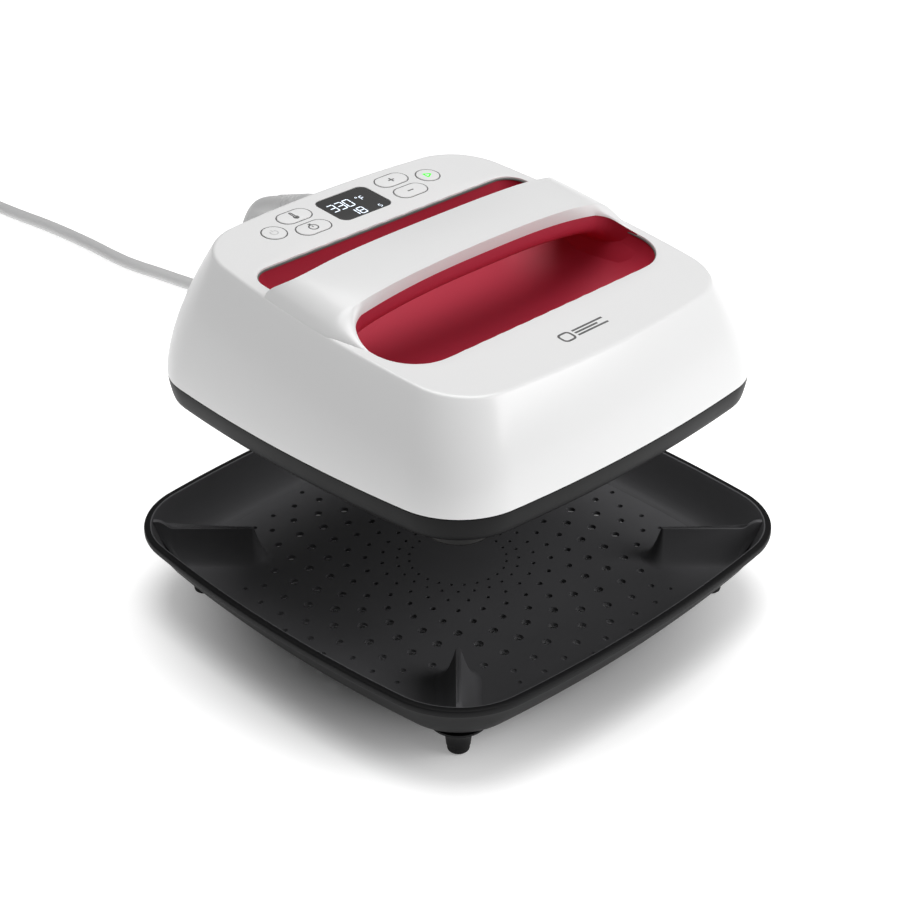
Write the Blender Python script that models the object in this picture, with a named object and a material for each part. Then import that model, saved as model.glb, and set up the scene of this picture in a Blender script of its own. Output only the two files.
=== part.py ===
"""Hand heat press hovering over its base tray, ready to be set down.

Metres, +Z up. The origin is the middle of the base on the table, +X the user's right, +Y the rear.
Everything of the press hangs on one empty, whose origin is the middle of the skirt's lower edge.
"""

import math

import bmesh
import bpy
from mathutils import Matrix, Vector

GAP = 0.0003  # between pieces that touch

# Base tray
BASE_HALF = 0.150
BASE_BOW = 0.852
BASE_CORNER = 0.051
RIM_HEIGHT = 0.049
RIM_WIDTH = 0.0045
FLOOR_TOP = 0.0225
FLOOR_THICK = 0.0025
TRAY_SLOPE_WIDTH = 0.0235
FLOOR_HALF = BASE_HALF - TRAY_SLOPE_WIDTH
TRAY_BOTTOM_HALF = FLOOR_HALF + 0.0075
TRAY_INSIDE = (  # half width and height, from the floor up to the rim
    (FLOOR_HALF + GAP, FLOOR_TOP),
    (FLOOR_HALF + 0.0050, FLOOR_TOP + 0.0012),
    (BASE_HALF - RIM_WIDTH - 0.0110, RIM_HEIGHT - 0.0210),
    (BASE_HALF - RIM_WIDTH - 0.0040, RIM_HEIGHT - 0.0110),
    (BASE_HALF - RIM_WIDTH, RIM_HEIGHT),
)
RING_RADII = (0.055, 0.066, 0.077, 0.088, 0.0985, 0.108)
RING_HOLES = 24
HOLE_LARGEST = 0.0028
HOLE_SMALLEST = 0.0009
HOLE_SIDES = 6

# Corner supports, feet
SUPPORT_RADIUS_IN = 0.121
SUPPORT_RADIUS_STOP = 0.1665
SUPPORT_TOP_HALF = 0.0018
SUPPORT_FLARE = 0.0112
SUPPORT_LEDGE = 0.0437
SUPPORT_STOP_TOP = 0.0485
SUPPORT_WALL_GAP = 0.0006
FOOT_CORNER_INSET = 0.0611  # in from the point where the sides would meet
FOOT_RADIUS_AT = BASE_HALF * math.sqrt(2) - FOOT_CORNER_INSET
FOOT_RADIUS = 0.0065
FOOT_NECK_RADIUS = 0.0125
FOOT_PAD_THICK = 0.0038

# Press: skirt, shell and heat plate; heights are above the skirt's lower edge
HOVER = 0.1363
SKIRT_HEIGHT = 0.0138
SKIRT_TOP_HALF = 0.1318
SKIRT_TAPER = 0.0021
SKIRT_BOW = 0.845
SKIRT_CORNER = 0.043
CREASE_HALF = 0.1098
CREASE_BOW = 0.705
CREASE_CORNER = 0.036
CREASE_LEAN = 0.149
CREASE_SHIFT = -0.0012
WALL_POWER = 1.6
SHELL_WALL = 0.0025
PANEL_HEIGHT = 0.0789
PANEL_SLOPE = 0.098
PLATE_HALF = 0.1143
PLATE_CORNER = 0.018
PLATE_BOW = 6.0
PLATE_CLEARANCE = 0.0015
PLATE_THICK = 0.0100
PLATE_DROP = 0.0078

# Well, slot and handle bridge
WELL_HALF = 0.1035
WELL_FRONT = -0.0695
WELL_REAR = 0.0615
WELL_FRONT_CORNER = 0.026
WELL_REAR_CORNER = 0.012
WELL_DEPTH = 0.036
LINER_WALL = 0.0018
BRIDGE_HALF = 0.1095
BRIDGE_POWER = 2.2
BRIDGE_FRONT = -0.0245
BRIDGE_FRONT_BEND = 0.0075
BRIDGE_FRONT_RISE = 0.0232
BRIDGE_REAR = 0.0205
BRIDGE_REAR_FLARE = 0.0070
BRIDGE_REAR_RISE = 0.0175
BRIDGE_FACE_SHARE = 0.366
BRIDGE_LEAST_THICK = 0.0030
GRIP_THICK = 0.0135
GRIP_HALF = 0.0980

# Control panel: places are (x, y) in plan; depths are below the panel's surface
PANEL_MIDDLE_Y = 0.0838
WINDOW_SIZE = (0.0380, 0.0275)
WINDOW_CORNER = 0.005
WINDOW_THICK = 0.0021
BUTTON_TRAVEL = 0.0005
BUTTON_PROUD = 0.0003
BUTTON_CLEARANCE = 0.00035
BUTTON_DEPTH = 0.0060
BUTTON_FLANGE = 0.0012
BUTTON_FLANGE_THICK = 0.0010
ROUND_RADIUS = 0.0069
PILL_RADIUS = 0.0060
PILL_STRAIGHT = 0.0049
BUTTONS = {
    "power_button": (-0.0590, 0.0838, ROUND_RADIUS, 0.0),
    "temperature_button": (-0.0373, 0.0920, PILL_RADIUS, PILL_STRAIGHT),
    "time_button": (-0.0373, 0.0757, PILL_RADIUS, PILL_STRAIGHT),
    "plus_button": (0.0373, 0.0920, PILL_RADIUS, PILL_STRAIGHT),
    "minus_button": (0.0373, 0.0757, PILL_RADIUS, PILL_STRAIGHT),
    "start_button": (0.0590, 0.0838, ROUND_RADIUS, 0.0),
}
KEYPAD_SIZE = (0.0500, 0.0330)
KEYPAD_THICK = 0.0013
KEYPAD_DEPTH = BUTTON_DEPTH + BUTTON_TRAVEL + GAP
BOARD_SIZE = (0.1460, 0.0330)
BOARD_THICK = 0.0016
BOARD_DEPTH = KEYPAD_DEPTH + KEYPAD_THICK + GAP
DISPLAY_SIZE = (0.0340, 0.0230)

# Inside: heating element, insulation and electrics
ELEMENT_RADIUS = 0.0032
ELEMENT_LOOP_HALF = 0.078
BLANKET_HALF = PLATE_HALF - 0.0063
BLANKET_CORNER = 0.036
BLANKET_THICK = 0.0055
SHIELD_HALF = PLATE_HALF + 0.0037
SHIELD_LEVEL = 0.0180
SHIELD_THICK = 0.0010
POST_AT = PLATE_HALF - 0.0143
POST_RADIUS = 0.0030
POST_BORE = 0.0015
SCREW_SHANK = 0.0012
SCREW_HEAD = 0.0032
SCREW_HEAD_THICK = 0.0018
POWER_BOARD_SIZE = (0.110, 0.044)
POWER_BOARD_Y = 0.088
POWER_BOARD_LEVEL = 0.0260

# Cord
LEAD_RADIUS = 0.0026
CORD_RADIUS = 0.0049
CORD_REST = CORD_RADIUS + 0.0001
CORD_SPACING = 0.014
RELIEF_SHARE = 0.8152  # of the rear wall's height
REAR_WALL_LOW = SKIRT_HEIGHT + GAP
REAR_WALL_HIGH = PANEL_HEIGHT + PANEL_SLOPE * CREASE_HALF
RELIEF_LEVEL = REAR_WALL_LOW + RELIEF_SHARE * (REAR_WALL_HIGH - REAR_WALL_LOW)
RELIEF_START = (0.0, 0.1127, RELIEF_LEVEL)
RELIEF_SLOPE = -0.2411
RELIEF_LENGTH = 0.036
RELIEF_STUB = 0.0040
RELIEF_BASE_RADIUS = 0.0076
RELIEF_FLANGE_RADIUS = 0.0088
RELIEF_TIP_RADIUS = 0.0057
COIL_MIDDLE = (0.074, 0.735)
COIL_RADIUS = 0.054
COIL_TURNS_WIDE = 2
COIL_HEIGHT = 0.0185
PLUG_LENGTH = 0.046
PLUG_WIDTH = 0.026
PLUG_HEIGHT = 0.022

# Mesh fineness
SIDE_STEPS = 3
CORNER_STEPS = 5
TURN_STEPS = 16
BRIDGE_STEPS = 20

MATERIALS = {
    "white_shell": ((0.84, 0.84, 0.84), 0.32, 0.0),
    "black_tray": ((0.030, 0.030, 0.031), 0.55, 0.0),
    "black_rubber": ((0.015, 0.015, 0.015), 0.80, 0.0),
    "dark_skirt": ((0.032, 0.032, 0.033), 0.50, 0.0),
    "red_plastic": ((0.340, 0.022, 0.040), 0.38, 0.0),
    "ceramic_coat": ((0.060, 0.058, 0.056), 0.35, 0.6),
    "button_white": ((0.82, 0.82, 0.82), 0.40, 0.0),
    "smoked_window": ((0.045, 0.045, 0.047), 0.15, 0.0),
    "element_steel": ((0.45, 0.44, 0.42), 0.40, 1.0),
    "glass_wool": ((0.78, 0.75, 0.66), 0.95, 0.0),
    "sheet_steel": ((0.55, 0.56, 0.57), 0.35, 1.0),
    "green_board": ((0.020, 0.130, 0.050), 0.50, 0.0),
    "silicone": ((0.55, 0.57, 0.58), 0.70, 0.0),
    "dark_plastic": ((0.050, 0.050, 0.055), 0.45, 0.0),
    "blue_plastic": ((0.030, 0.100, 0.330), 0.40, 0.0),
    "ceramic_white": ((0.85, 0.84, 0.80), 0.30, 0.0),
    "grey_cord": ((0.58, 0.58, 0.58), 0.55, 0.0),
    "grey_plug": ((0.52, 0.52, 0.52), 0.50, 0.0),
    "brass_pin": ((0.80, 0.62, 0.30), 0.25, 1.0),
}


def clear_scene():
    for scene_object in list(bpy.data.objects):
        bpy.data.objects.remove(scene_object, do_unlink=True)


def material(name):
    """One Principled BSDF material, made the first time it is asked for."""
    found = bpy.data.materials.get(name)
    if found:
        return found
    colour, roughness, metallic = MATERIALS[name]
    made = bpy.data.materials.new(name)
    made.use_nodes = True
    shader = made.node_tree.nodes["Principled BSDF"]
    shader.inputs["Base Color"].default_value = (*colour, 1.0)
    shader.inputs["Roughness"].default_value = roughness
    shader.inputs["Metallic"].default_value = metallic
    return made


def add_object(name, points, faces, material_name, parent=None, place=None):
    """A closed mesh object with outward faces, placed in its parent's frame."""
    mesh = bpy.data.meshes.new(name)
    mesh.from_pydata([tuple(point) for point in points], [], faces)
    work = bmesh.new()
    work.from_mesh(mesh)
    bmesh.ops.recalc_face_normals(work, faces=work.faces)
    work.to_mesh(mesh)
    work.free()
    mesh.shade_smooth()
    mesh.set_sharp_from_angle(angle=math.radians(35))
    mesh.materials.append(material(material_name))
    made = bpy.data.objects.new(name, mesh)
    bpy.context.collection.objects.link(made)
    made.parent = parent
    if place is not None:
        made.matrix_local = place
    return made


def make_cutter(made):
    made.hide_render = True
    made.display_type = "WIRE"
    return made


def combine(target, other, operation):
    """Cuts the other object from the target, or joins it on, with an exact Boolean."""
    modifier = target.modifiers.new(operation.lower(), "BOOLEAN")
    modifier.operation = operation
    modifier.solver = "EXACT"
    modifier.object = make_cutter(other)


# Outlines in plan


def outline(half, bow, corner):
    """Square of the given half width whose sides are arcs of radius bow, corners round."""
    offset = bow - half
    corner_at = (math.sqrt(2 * (bow - corner) ** 2 - offset**2) - offset) / 2
    turn = math.atan2(corner_at, corner_at + offset)
    quarter = []
    for step in range(SIDE_STEPS):
        angle = turn * step / SIDE_STEPS
        quarter.append((bow * math.cos(angle) - offset, bow * math.sin(angle)))
    for step in range(CORNER_STEPS):
        angle = turn + (math.pi / 2 - 2 * turn) * step / CORNER_STEPS
        quarter.append((corner_at + corner * math.cos(angle), corner_at + corner * math.sin(angle)))
    for step in range(SIDE_STEPS):
        angle = math.pi / 2 - turn + turn * step / SIDE_STEPS
        quarter.append((bow * math.cos(angle), bow * math.sin(angle) - offset))
    points = []
    for _ in range(4):
        points.extend(quarter)
        quarter = [(-y, x) for x, y in quarter]
    return points


def rounded_rectangle(left, right, front, rear, front_corner, rear_corner, steps=4):
    """Counter-clockwise outline of a rectangle whose front and rear corners differ."""
    corners = (
        (right - rear_corner, rear - rear_corner, rear_corner, 0),
        (left + rear_corner, rear - rear_corner, rear_corner, 90),
        (left + front_corner, front + front_corner, front_corner, 180),
        (right - front_corner, front + front_corner, front_corner, 270),
    )
    points = []
    for x, y, radius, start in corners:
        for step in range(steps + 1):
            angle = math.radians(start + 90 * step / steps)
            points.append((x + radius * math.cos(angle), y + radius * math.sin(angle)))
    return points


def centred_rectangle(width, depth, corner):
    return rounded_rectangle(-width / 2, width / 2, -depth / 2, depth / 2, corner, corner)


def well_outline(inset):
    """Outline of the hand opening, moved inwards by inset."""
    return rounded_rectangle(
        inset - WELL_HALF,
        WELL_HALF - inset,
        WELL_FRONT + inset,
        WELL_REAR - inset,
        max(WELL_FRONT_CORNER - inset / 2, 0.002),
        max(WELL_REAR_CORNER - inset / 4, 0.002),
        steps=5,
    )


def circle(radius, steps=TURN_STEPS, x=0.0, y=0.0):
    turns = [2 * math.pi * step / steps for step in range(steps)]
    return [(x + radius * math.cos(turn), y + radius * math.sin(turn)) for turn in turns]


def at_level(points, level):
    return [(x, y, level) for x, y in points]


# Solids


def loft_faces(ring_count, ring_size, closed):
    """Quads between neighbouring rings, and the two end caps unless the rings close on themselves."""
    faces = []
    spans = ring_count if closed else ring_count - 1
    for ring in range(spans):
        low = ring * ring_size
        high = (ring + 1) % ring_count * ring_size
        for step in range(ring_size):
            following = (step + 1) % ring_size
            faces.append((low + step, low + following, high + following, high + step))
    if not closed:
        faces.append(tuple(reversed(range(ring_size))))
        faces.append(tuple(range((ring_count - 1) * ring_size, ring_count * ring_size)))
    return faces


def loft(name, rings, material_name, parent=None, place=None, closed=False):
    points = [point for ring in rings for point in ring]
    faces = loft_faces(len(rings), len(rings[0]), closed)
    return add_object(name, points, faces, material_name, parent, place)


def prism(name, points, low, high, material_name, parent=None, place=None):
    rings = [at_level(points, low), at_level(points, high)]
    return loft(name, rings, material_name, parent, place)


def turned(name, profile, material_name, parent=None, place=None, bored=False):
    """Solid turned about Z from (radius, height) points; a bored one closes round its hole."""
    rings = [at_level(circle(radius), height) for radius, height in profile]
    return loft(name, rings, material_name, parent, place, closed=bored)


def box(name, size, centre, material_name, parent=None, place=None, corner=0.0008):
    width, depth, height = size
    offset = Matrix.Translation(Vector(centre))
    points = centred_rectangle(width, depth, corner)
    whole = offset if place is None else place @ offset
    return prism(name, points, -height / 2, height / 2, material_name, parent, whole)


# Base tray


def tray_wall():
    """Ring of wall and rolled rim: up the outside, over the rim, down the slope inside."""
    section = (
        (FLOOR_HALF + GAP, FLOOR_TOP - FLOOR_THICK - 0.0030),
        (TRAY_BOTTOM_HALF, FLOOR_TOP - FLOOR_THICK - 0.0020),
        (BASE_HALF - 0.0070, RIM_HEIGHT - 0.0180),
        (BASE_HALF - 0.0022, RIM_HEIGHT - 0.0065),
        (BASE_HALF, RIM_HEIGHT - 0.0035),
        (BASE_HALF, RIM_HEIGHT - 0.0010),
        (BASE_HALF - 0.0010, RIM_HEIGHT),
        *reversed(TRAY_INSIDE),
    )
    rings = []
    for half, level in section:
        shrink = BASE_HALF - half
        rings.append(at_level(outline(half, BASE_BOW - shrink, BASE_CORNER - shrink), level))
    return loft("tray_wall", rings, "black_tray", closed=True)


def hole_radius(radius):
    """Holes are widest halfway out and shrink towards the middle and the wall."""
    share = (radius - 0.085) / 0.040
    return HOLE_SMALLEST + (HOLE_LARGEST - HOLE_SMALLEST) * math.exp(-(share**2))


def tray_floor():
    shrink = BASE_HALF - FLOOR_HALF
    points = outline(FLOOR_HALF, BASE_BOW - shrink, BASE_CORNER - shrink)
    floor = prism("tray_floor", points, FLOOR_TOP - FLOOR_THICK, FLOOR_TOP, "black_tray")
    cutter_points = []
    cutter_faces = []
    for ring, radius in enumerate(RING_RADII):
        for number in range(RING_HOLES):
            angle = 2 * math.pi * (number + ring % 2 / 2) / RING_HOLES
            middle_x = radius * math.cos(angle)
            middle_y = radius * math.sin(angle)
            hole = circle(hole_radius(radius), HOLE_SIDES, middle_x, middle_y)
            start = len(cutter_points)
            cutter_points.extend(at_level(hole, FLOOR_TOP - FLOOR_THICK - 0.001))
            cutter_points.extend(at_level(hole, FLOOR_TOP + 0.001))
            faces = loft_faces(2, HOLE_SIDES, closed=False)
            cutter_faces.extend(tuple(start + corner for corner in face) for face in faces)
    holes = add_object("floor_holes", cutter_points, cutter_faces, "black_tray")
    combine(floor, holes, "DIFFERENCE")


def tray_inner_radius(level, width):
    """Distance of the tray's inner wall from the middle along a diagonal, seen width off it."""
    half = TRAY_INSIDE[0][0]
    for (low_half, low), (high_half, high) in zip(TRAY_INSIDE, TRAY_INSIDE[1:]):
        if low < level:
            half = low_half + (high_half - low_half) * min(1.0, (level - low) / (high - low))
    shrink = BASE_HALF - half
    points = outline(half, BASE_BOW - shrink, BASE_CORNER - shrink)
    reach = max((x + y) / math.sqrt(2) for x, y in points)
    return reach - width**2 / (2 * (BASE_CORNER - shrink)) - SUPPORT_WALL_GAP


def corner_support(number, angle):
    """Rib along a diagonal: a thin ledge with a raised stop, and flanks that flare to the floor."""
    base = FLOOR_TOP + GAP
    inner_steps = 8
    rings = []
    for share in (1.0, 0.75, 0.5, 0.25, 0.08, 0.0):
        spread = SUPPORT_FLARE * share
        level_share = (1 - share) ** 2.2
        low = base + (SUPPORT_LEDGE - base) * level_share
        stop = base + (SUPPORT_STOP_TOP - base) * level_share
        width = SUPPORT_TOP_HALF + spread
        end = tray_inner_radius(stop, width)
        step_at = min(SUPPORT_RADIUS_STOP, tray_inner_radius(low, width) - 0.0015)
        right = [(end, width, stop), (step_at + 0.001, width, stop), (step_at, width, low)]
        nose = []
        for step in range(inner_steps + 1):
            turn = math.pi / 2 + math.pi * step / inner_steps
            x = SUPPORT_RADIUS_IN + width * math.cos(turn)
            nose.append((x, width * math.sin(turn), low))
        left = [(step_at, -width, low), (step_at + 0.001, -width, stop), (end, -width, stop)]
        rings.append(right + nose + left)
    size = len(rings[0])
    points = [point for ring in rings for point in ring]
    faces = []
    for ring in range(len(rings) - 1):
        for step in range(size):
            following = (step + 1) % size
            low = ring * size
            faces.append((low + step, low + following, low + size + following, low + size + step))
    faces.append(tuple(reversed(range(size))))
    top = (len(rings) - 1) * size
    for step in range(size // 2):
        mirrored = size - 1 - step
        if mirrored - step > 1:
            across = (top + step, top + step + 1, top + mirrored - 1, top + mirrored)
            faces.append(tuple(dict.fromkeys(across)))
    place = Matrix.Rotation(angle, 4, "Z")
    return add_object(f"corner_support_{number}", points, faces, "black_tray", None, place)


def foot(number, angle):
    """Flared neck under a corner of the tray, with a rubber pad pushed on below."""
    middle = Matrix.Rotation(angle, 4, "Z") @ Matrix.Translation((FOOT_RADIUS_AT, 0, 0))
    under = FLOOR_TOP - FLOOR_THICK - 0.0030 - GAP
    neck = (
        (FOOT_RADIUS, FOOT_PAD_THICK + GAP),
        (FOOT_RADIUS + 0.0003, 0.0080),
        (FOOT_RADIUS + 0.0020, 0.0120),
        (FOOT_NECK_RADIUS, under),
    )
    turned(f"foot_{number}", neck, "black_tray", None, middle)
    pad = ((FOOT_RADIUS - 0.0012, 0.0), (FOOT_RADIUS - 0.0004, 0.0008), (FOOT_RADIUS - 0.0004, FOOT_PAD_THICK))
    turned(f"foot_pad_{number}", pad, "black_rubber", None, middle)


def base():
    tray_wall()
    tray_floor()
    for number in range(4):
        angle = math.radians(45 + 90 * number)
        corner_support(number + 1, angle)
        foot(number + 1, angle)


# Press: shell


def panel_level(y):
    return PANEL_HEIGHT + PANEL_SLOPE * y


def crease_ring(inset):
    """Top edge of the wall, on the sloping panel plane; it narrows as the plane rises."""
    points = outline(CREASE_HALF - inset, CREASE_BOW - inset, CREASE_CORNER - inset)
    ring = []
    for x, y in points:
        grown = 1 - CREASE_LEAN * PANEL_SLOPE * y / CREASE_HALF
        plan_y = y * grown + CREASE_SHIFT
        ring.append((x * grown, plan_y, panel_level(plan_y) - inset))
    return ring


def shell_rings(inset, start, levels):
    """Rings from the skirt's outline to the crease: the wall leans in as the share to WALL_POWER."""
    low = outline(SKIRT_TOP_HALF - inset, SKIRT_BOW - inset, SKIRT_CORNER - inset)
    high = crease_ring(inset)
    rings = []
    for step in range(levels + 1):
        share = step / levels
        lean = share**WALL_POWER
        ring = []
        for (low_x, low_y), (high_x, high_y, high_z) in zip(low, high):
            x = low_x + (high_x - low_x) * lean
            y = low_y + (high_y - low_y) * lean
            ring.append((x, y, start + (high_z - start) * share))
        rings.append(ring)
    return rings


def bridge_rise(x, most):
    return most * math.sqrt(max(0.0, 1 - abs(x / BRIDGE_HALF) ** BRIDGE_POWER))


def bridge_front(x):
    return BRIDGE_FRONT + BRIDGE_FRONT_BEND * (x / 0.1) ** 2


def bridge_rear(x):
    return BRIDGE_REAR + BRIDGE_REAR_FLARE * (x / 0.1) ** 8


def bridge_top(x, y):
    """Top of the handle bridge: it arches along X, and runs from the front rise to the rear rise."""
    share = (y - bridge_front(x)) / (bridge_rear(x) - bridge_front(x))
    most = BRIDGE_FRONT_RISE + (BRIDGE_REAR_RISE - BRIDGE_FRONT_RISE) * share
    return panel_level(y) + bridge_rise(x, most)


def bridge_thickness(x):
    return BRIDGE_LEAST_THICK + bridge_rise(x, BRIDGE_FRONT_RISE * BRIDGE_FACE_SHARE - BRIDGE_LEAST_THICK)


def bridge(carriage):
    """Band over the hand opening, as closed rings round its section from left to right."""
    rings = []
    for step in range(BRIDGE_STEPS + 1):
        x = BRIDGE_HALF * math.sin(math.pi * (step / BRIDGE_STEPS - 0.5))
        front = bridge_front(x)
        rear = bridge_rear(x)
        thick = bridge_thickness(x)
        plan = [front, front + (rear - front) / 3, front + 2 * (rear - front) / 3, rear]
        top = [(x, y, bridge_top(x, y)) for y in plan]
        bottom = [(x, y, bridge_top(x, y) - thick) for y in reversed(plan)]
        rings.append(top + bottom)
    return loft("bridge_band", rings, "white_shell", carriage)


def upper_shell(carriage):
    shell = loft("upper_shell", shell_rings(0.0, SKIRT_HEIGHT + GAP, 6), "white_shell", carriage)
    hollow = shell_rings(SHELL_WALL, SKIRT_HEIGHT - 0.004, 4)
    combine(shell, loft("shell_hollow", hollow, "white_shell", carriage), "DIFFERENCE")
    opening = well_outline(0.0)
    rings = [at_level(opening, PANEL_HEIGHT - 0.040), at_level(opening, PANEL_HEIGHT + 0.030)]
    combine(shell, loft("hand_opening", rings, "white_shell", carriage), "DIFFERENCE")
    combine(shell, bridge(carriage), "UNION")
    for name, (x, y, radius, straight) in BUTTONS.items():
        hole = button_outline(radius + BUTTON_CLEARANCE, straight)
        place = panel_place(x, y)
        cutter = prism(name + "_hole", hole, -0.006, 0.004, "white_shell", carriage, place)
        combine(shell, cutter, "DIFFERENCE")
    width, depth = WINDOW_SIZE
    hole = centred_rectangle(width + 2 * GAP, depth + 2 * GAP, WINDOW_CORNER + GAP)
    place = panel_place(0.0, PANEL_MIDDLE_Y)
    cutter = prism("window_hole", hole, -0.006, 0.004, "white_shell", carriage, place)
    combine(shell, cutter, "DIFFERENCE")
    bore = [(RELIEF_BASE_RADIUS - 0.0006, -0.014), (RELIEF_BASE_RADIUS - 0.0006, 0.012)]
    combine(shell, turned("relief_hole", bore, "white_shell", carriage, relief_place()), "DIFFERENCE")


def well_liner(carriage):
    """Thin red basin under the hand opening: its underside up to the rim, then its inside down."""
    slope = ((0.0006, 0.0004), (0.0030, 0.0110), (0.0100, 0.0220), (0.0220, 0.0310), (0.0420, WELL_DEPTH))
    rings = []
    for inset, depth in reversed(slope):
        rings.append(well_ring(max(inset - LINER_WALL * 0.5, 0.0006), depth + LINER_WALL))
    rings.pop()
    rim_inset, rim_depth = slope[0]
    rings.append(well_ring(rim_inset, rim_depth + SHELL_WALL * 2))
    rings.append(well_ring(rim_inset, rim_depth))
    rings.append(well_ring(rim_inset + LINER_WALL, rim_depth))
    for inset, depth in slope[1:]:
        rings.append(well_ring(inset + LINER_WALL * 0.5, depth))
    return loft("well_liner", rings, "red_plastic", carriage)


def well_ring(inset, depth):
    return [(x, y, panel_level(y) - depth) for x, y in well_outline(inset)]


def handle_grip(carriage):
    """Red grip hung under the bridge: flat above, round below, between the well's two ends."""
    rings = []
    lower_steps = 6
    for step in range(BRIDGE_STEPS + 1):
        x = GRIP_HALF * (2 * step / BRIDGE_STEPS - 1)
        front = bridge_front(x) + 0.0015
        rear = bridge_rear(x) - 0.0015
        middle = (front + rear) / 2
        reach = (rear - front) / 2
        ring = []
        for part in range(4):
            y = front + (rear - front) * part / 3
            ring.append((x, y, bridge_top(x, y) - bridge_thickness(x) - 4 * GAP))
        for part in range(1, lower_steps):
            turn = math.pi * part / lower_steps
            y = middle + reach * math.cos(turn)
            top = bridge_top(x, y) - bridge_thickness(x) - 4 * GAP
            ring.append((x, y, top - 0.0015 - (GRIP_THICK - 0.0015) * math.sin(turn)))
        rings.append(ring)
    return loft("handle_grip", rings, "red_plastic", carriage)


def skirt(carriage):
    """Dark band under the shell; its inside follows the heat plate with a clearance."""
    inner_half = PLATE_HALF + PLATE_CLEARANCE
    inner = outline(inner_half, PLATE_BOW, PLATE_CORNER + PLATE_CLEARANCE)
    rings = []
    for shrink, level in ((SKIRT_TAPER + 0.0012, 0.0), (SKIRT_TAPER, 0.0012), (0.0, SKIRT_HEIGHT)):
        half = SKIRT_TOP_HALF - shrink
        rings.append(at_level(outline(half, SKIRT_BOW - shrink, SKIRT_CORNER - shrink), level))
    rings.append(at_level(inner, SKIRT_HEIGHT))
    rings.append(at_level(inner, 0.0))
    return loft("skirt", rings, "dark_skirt", carriage, closed=True)


# Press: heating


def heat_plate(carriage):
    points = outline(PLATE_HALF, PLATE_BOW, PLATE_CORNER)
    edge = outline(PLATE_HALF - 0.0015, PLATE_BOW, PLATE_CORNER - 0.0015)
    rings = [
        at_level(edge, -PLATE_DROP),
        at_level(points, -PLATE_DROP + 0.0015),
        at_level(points, PLATE_THICK - PLATE_DROP),
    ]
    return loft("heat_plate", rings, "ceramic_coat", carriage)


def tube(name, points, radius, material_name, parent=None, resolution=2):
    """Curve through the given points with a round bevel and filled ends."""
    curve = bpy.data.curves.new(name, "CURVE")
    curve.dimensions = "3D"
    curve.bevel_depth = radius
    curve.bevel_resolution = resolution
    curve.use_fill_caps = True
    spline = curve.splines.new("POLY")
    spline.points.add(len(points) - 1)
    for spline_point, (x, y, z) in zip(spline.points, points):
        spline_point.co = (x, y, z, 1.0)
    curve.materials.append(material(material_name))
    made = bpy.data.objects.new(name, curve)
    bpy.context.collection.objects.link(made)
    made.parent = parent
    return made


def heating_element(carriage):
    """Tubular element in a rounded square loop, its two ends standing up at the rear."""
    level = PLATE_THICK - PLATE_DROP + GAP + ELEMENT_RADIUS
    loop = outline(ELEMENT_LOOP_HALF, PLATE_BOW, 0.030)
    quarter = len(loop) // 4
    ordered = loop[quarter + 2 :] + loop[: quarter - 1]
    points = at_level(ordered, level)
    return tube("heating_element", points, ELEMENT_RADIUS, "element_steel", carriage)


def heat_stack(carriage):
    """Insulation blanket on the element, steel shield above it on four posts with screws."""
    plate_top = PLATE_THICK - PLATE_DROP
    blanket_low = plate_top + 2 * ELEMENT_RADIUS + 3 * GAP
    points = outline(BLANKET_HALF, PLATE_BOW, BLANKET_CORNER)
    prism("insulation_blanket", points, blanket_low, blanket_low + BLANKET_THICK, "glass_wool", carriage)
    points = outline(SHIELD_HALF, PLATE_BOW, 0.024)
    shield_top = SHIELD_LEVEL + SHIELD_THICK
    shield = prism("heat_shield", points, SHIELD_LEVEL, shield_top, "sheet_steel", carriage)
    post = (
        (POST_BORE, plate_top + GAP),
        (POST_RADIUS, plate_top + GAP),
        (POST_RADIUS, SHIELD_LEVEL - GAP),
        (POST_BORE, SHIELD_LEVEL - GAP),
    )
    screw = (
        (SCREW_SHANK, SHIELD_LEVEL - 0.007),
        (SCREW_SHANK, shield_top + GAP),
        (SCREW_HEAD, shield_top + GAP),
        (SCREW_HEAD - 0.0008, shield_top + GAP + SCREW_HEAD_THICK),
    )
    number = 0
    for x in (-POST_AT, POST_AT):
        for y in (-POST_AT, POST_AT):
            number += 1
            place = Matrix.Translation((x, y, 0))
            turned(f"shield_post_{number}", post, "element_steel", carriage, place, bored=True)
            turned(f"shield_screw_{number}", screw, "sheet_steel", carriage, place)
            bore = ((POST_BORE, SHIELD_LEVEL - 0.002), (POST_BORE, shield_top + 0.002))
            cutter = turned(f"shield_hole_{number}", bore, "sheet_steel", carriage, place)
            combine(shield, cutter, "DIFFERENCE")
    above = shield_top + GAP
    thermostat = ((0.0080, above), (0.0080, above + 0.0055), (0.0062, above + 0.0060), (0.0062, above + 0.0095))
    turned("limit_thermostat", thermostat, "ceramic_white", carriage, Matrix.Translation((0.030, 0.020, 0)))
    lying = Matrix.Rotation(math.pi / 2, 4, "Y")
    fuse_place = Matrix.Translation((-0.040, 0.020, above + 0.0035)) @ lying
    fuse = ((0.0010, -0.0100), (0.0030, -0.0080), (0.0030, 0.0080), (0.0010, 0.0100))
    turned("thermal_fuse", fuse, "sheet_steel", carriage, fuse_place)
    sensor_place = Matrix.Translation((0.0, -0.020, above + 0.0026)) @ lying
    sensor = ((0.0012, -0.0060), (0.0022, -0.0045), (0.0022, 0.0045), (0.0012, 0.0060))
    turned("temperature_sensor", sensor, "element_steel", carriage, sensor_place)


# Press: controls


def panel_place(x, y):
    """Frame on the sloping panel: its origin at (x, y), its Z the panel's outward normal."""
    tilt = Matrix.Rotation(math.atan(PANEL_SLOPE), 4, "X")
    return Matrix.Translation((x, y, panel_level(y))) @ tilt


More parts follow.
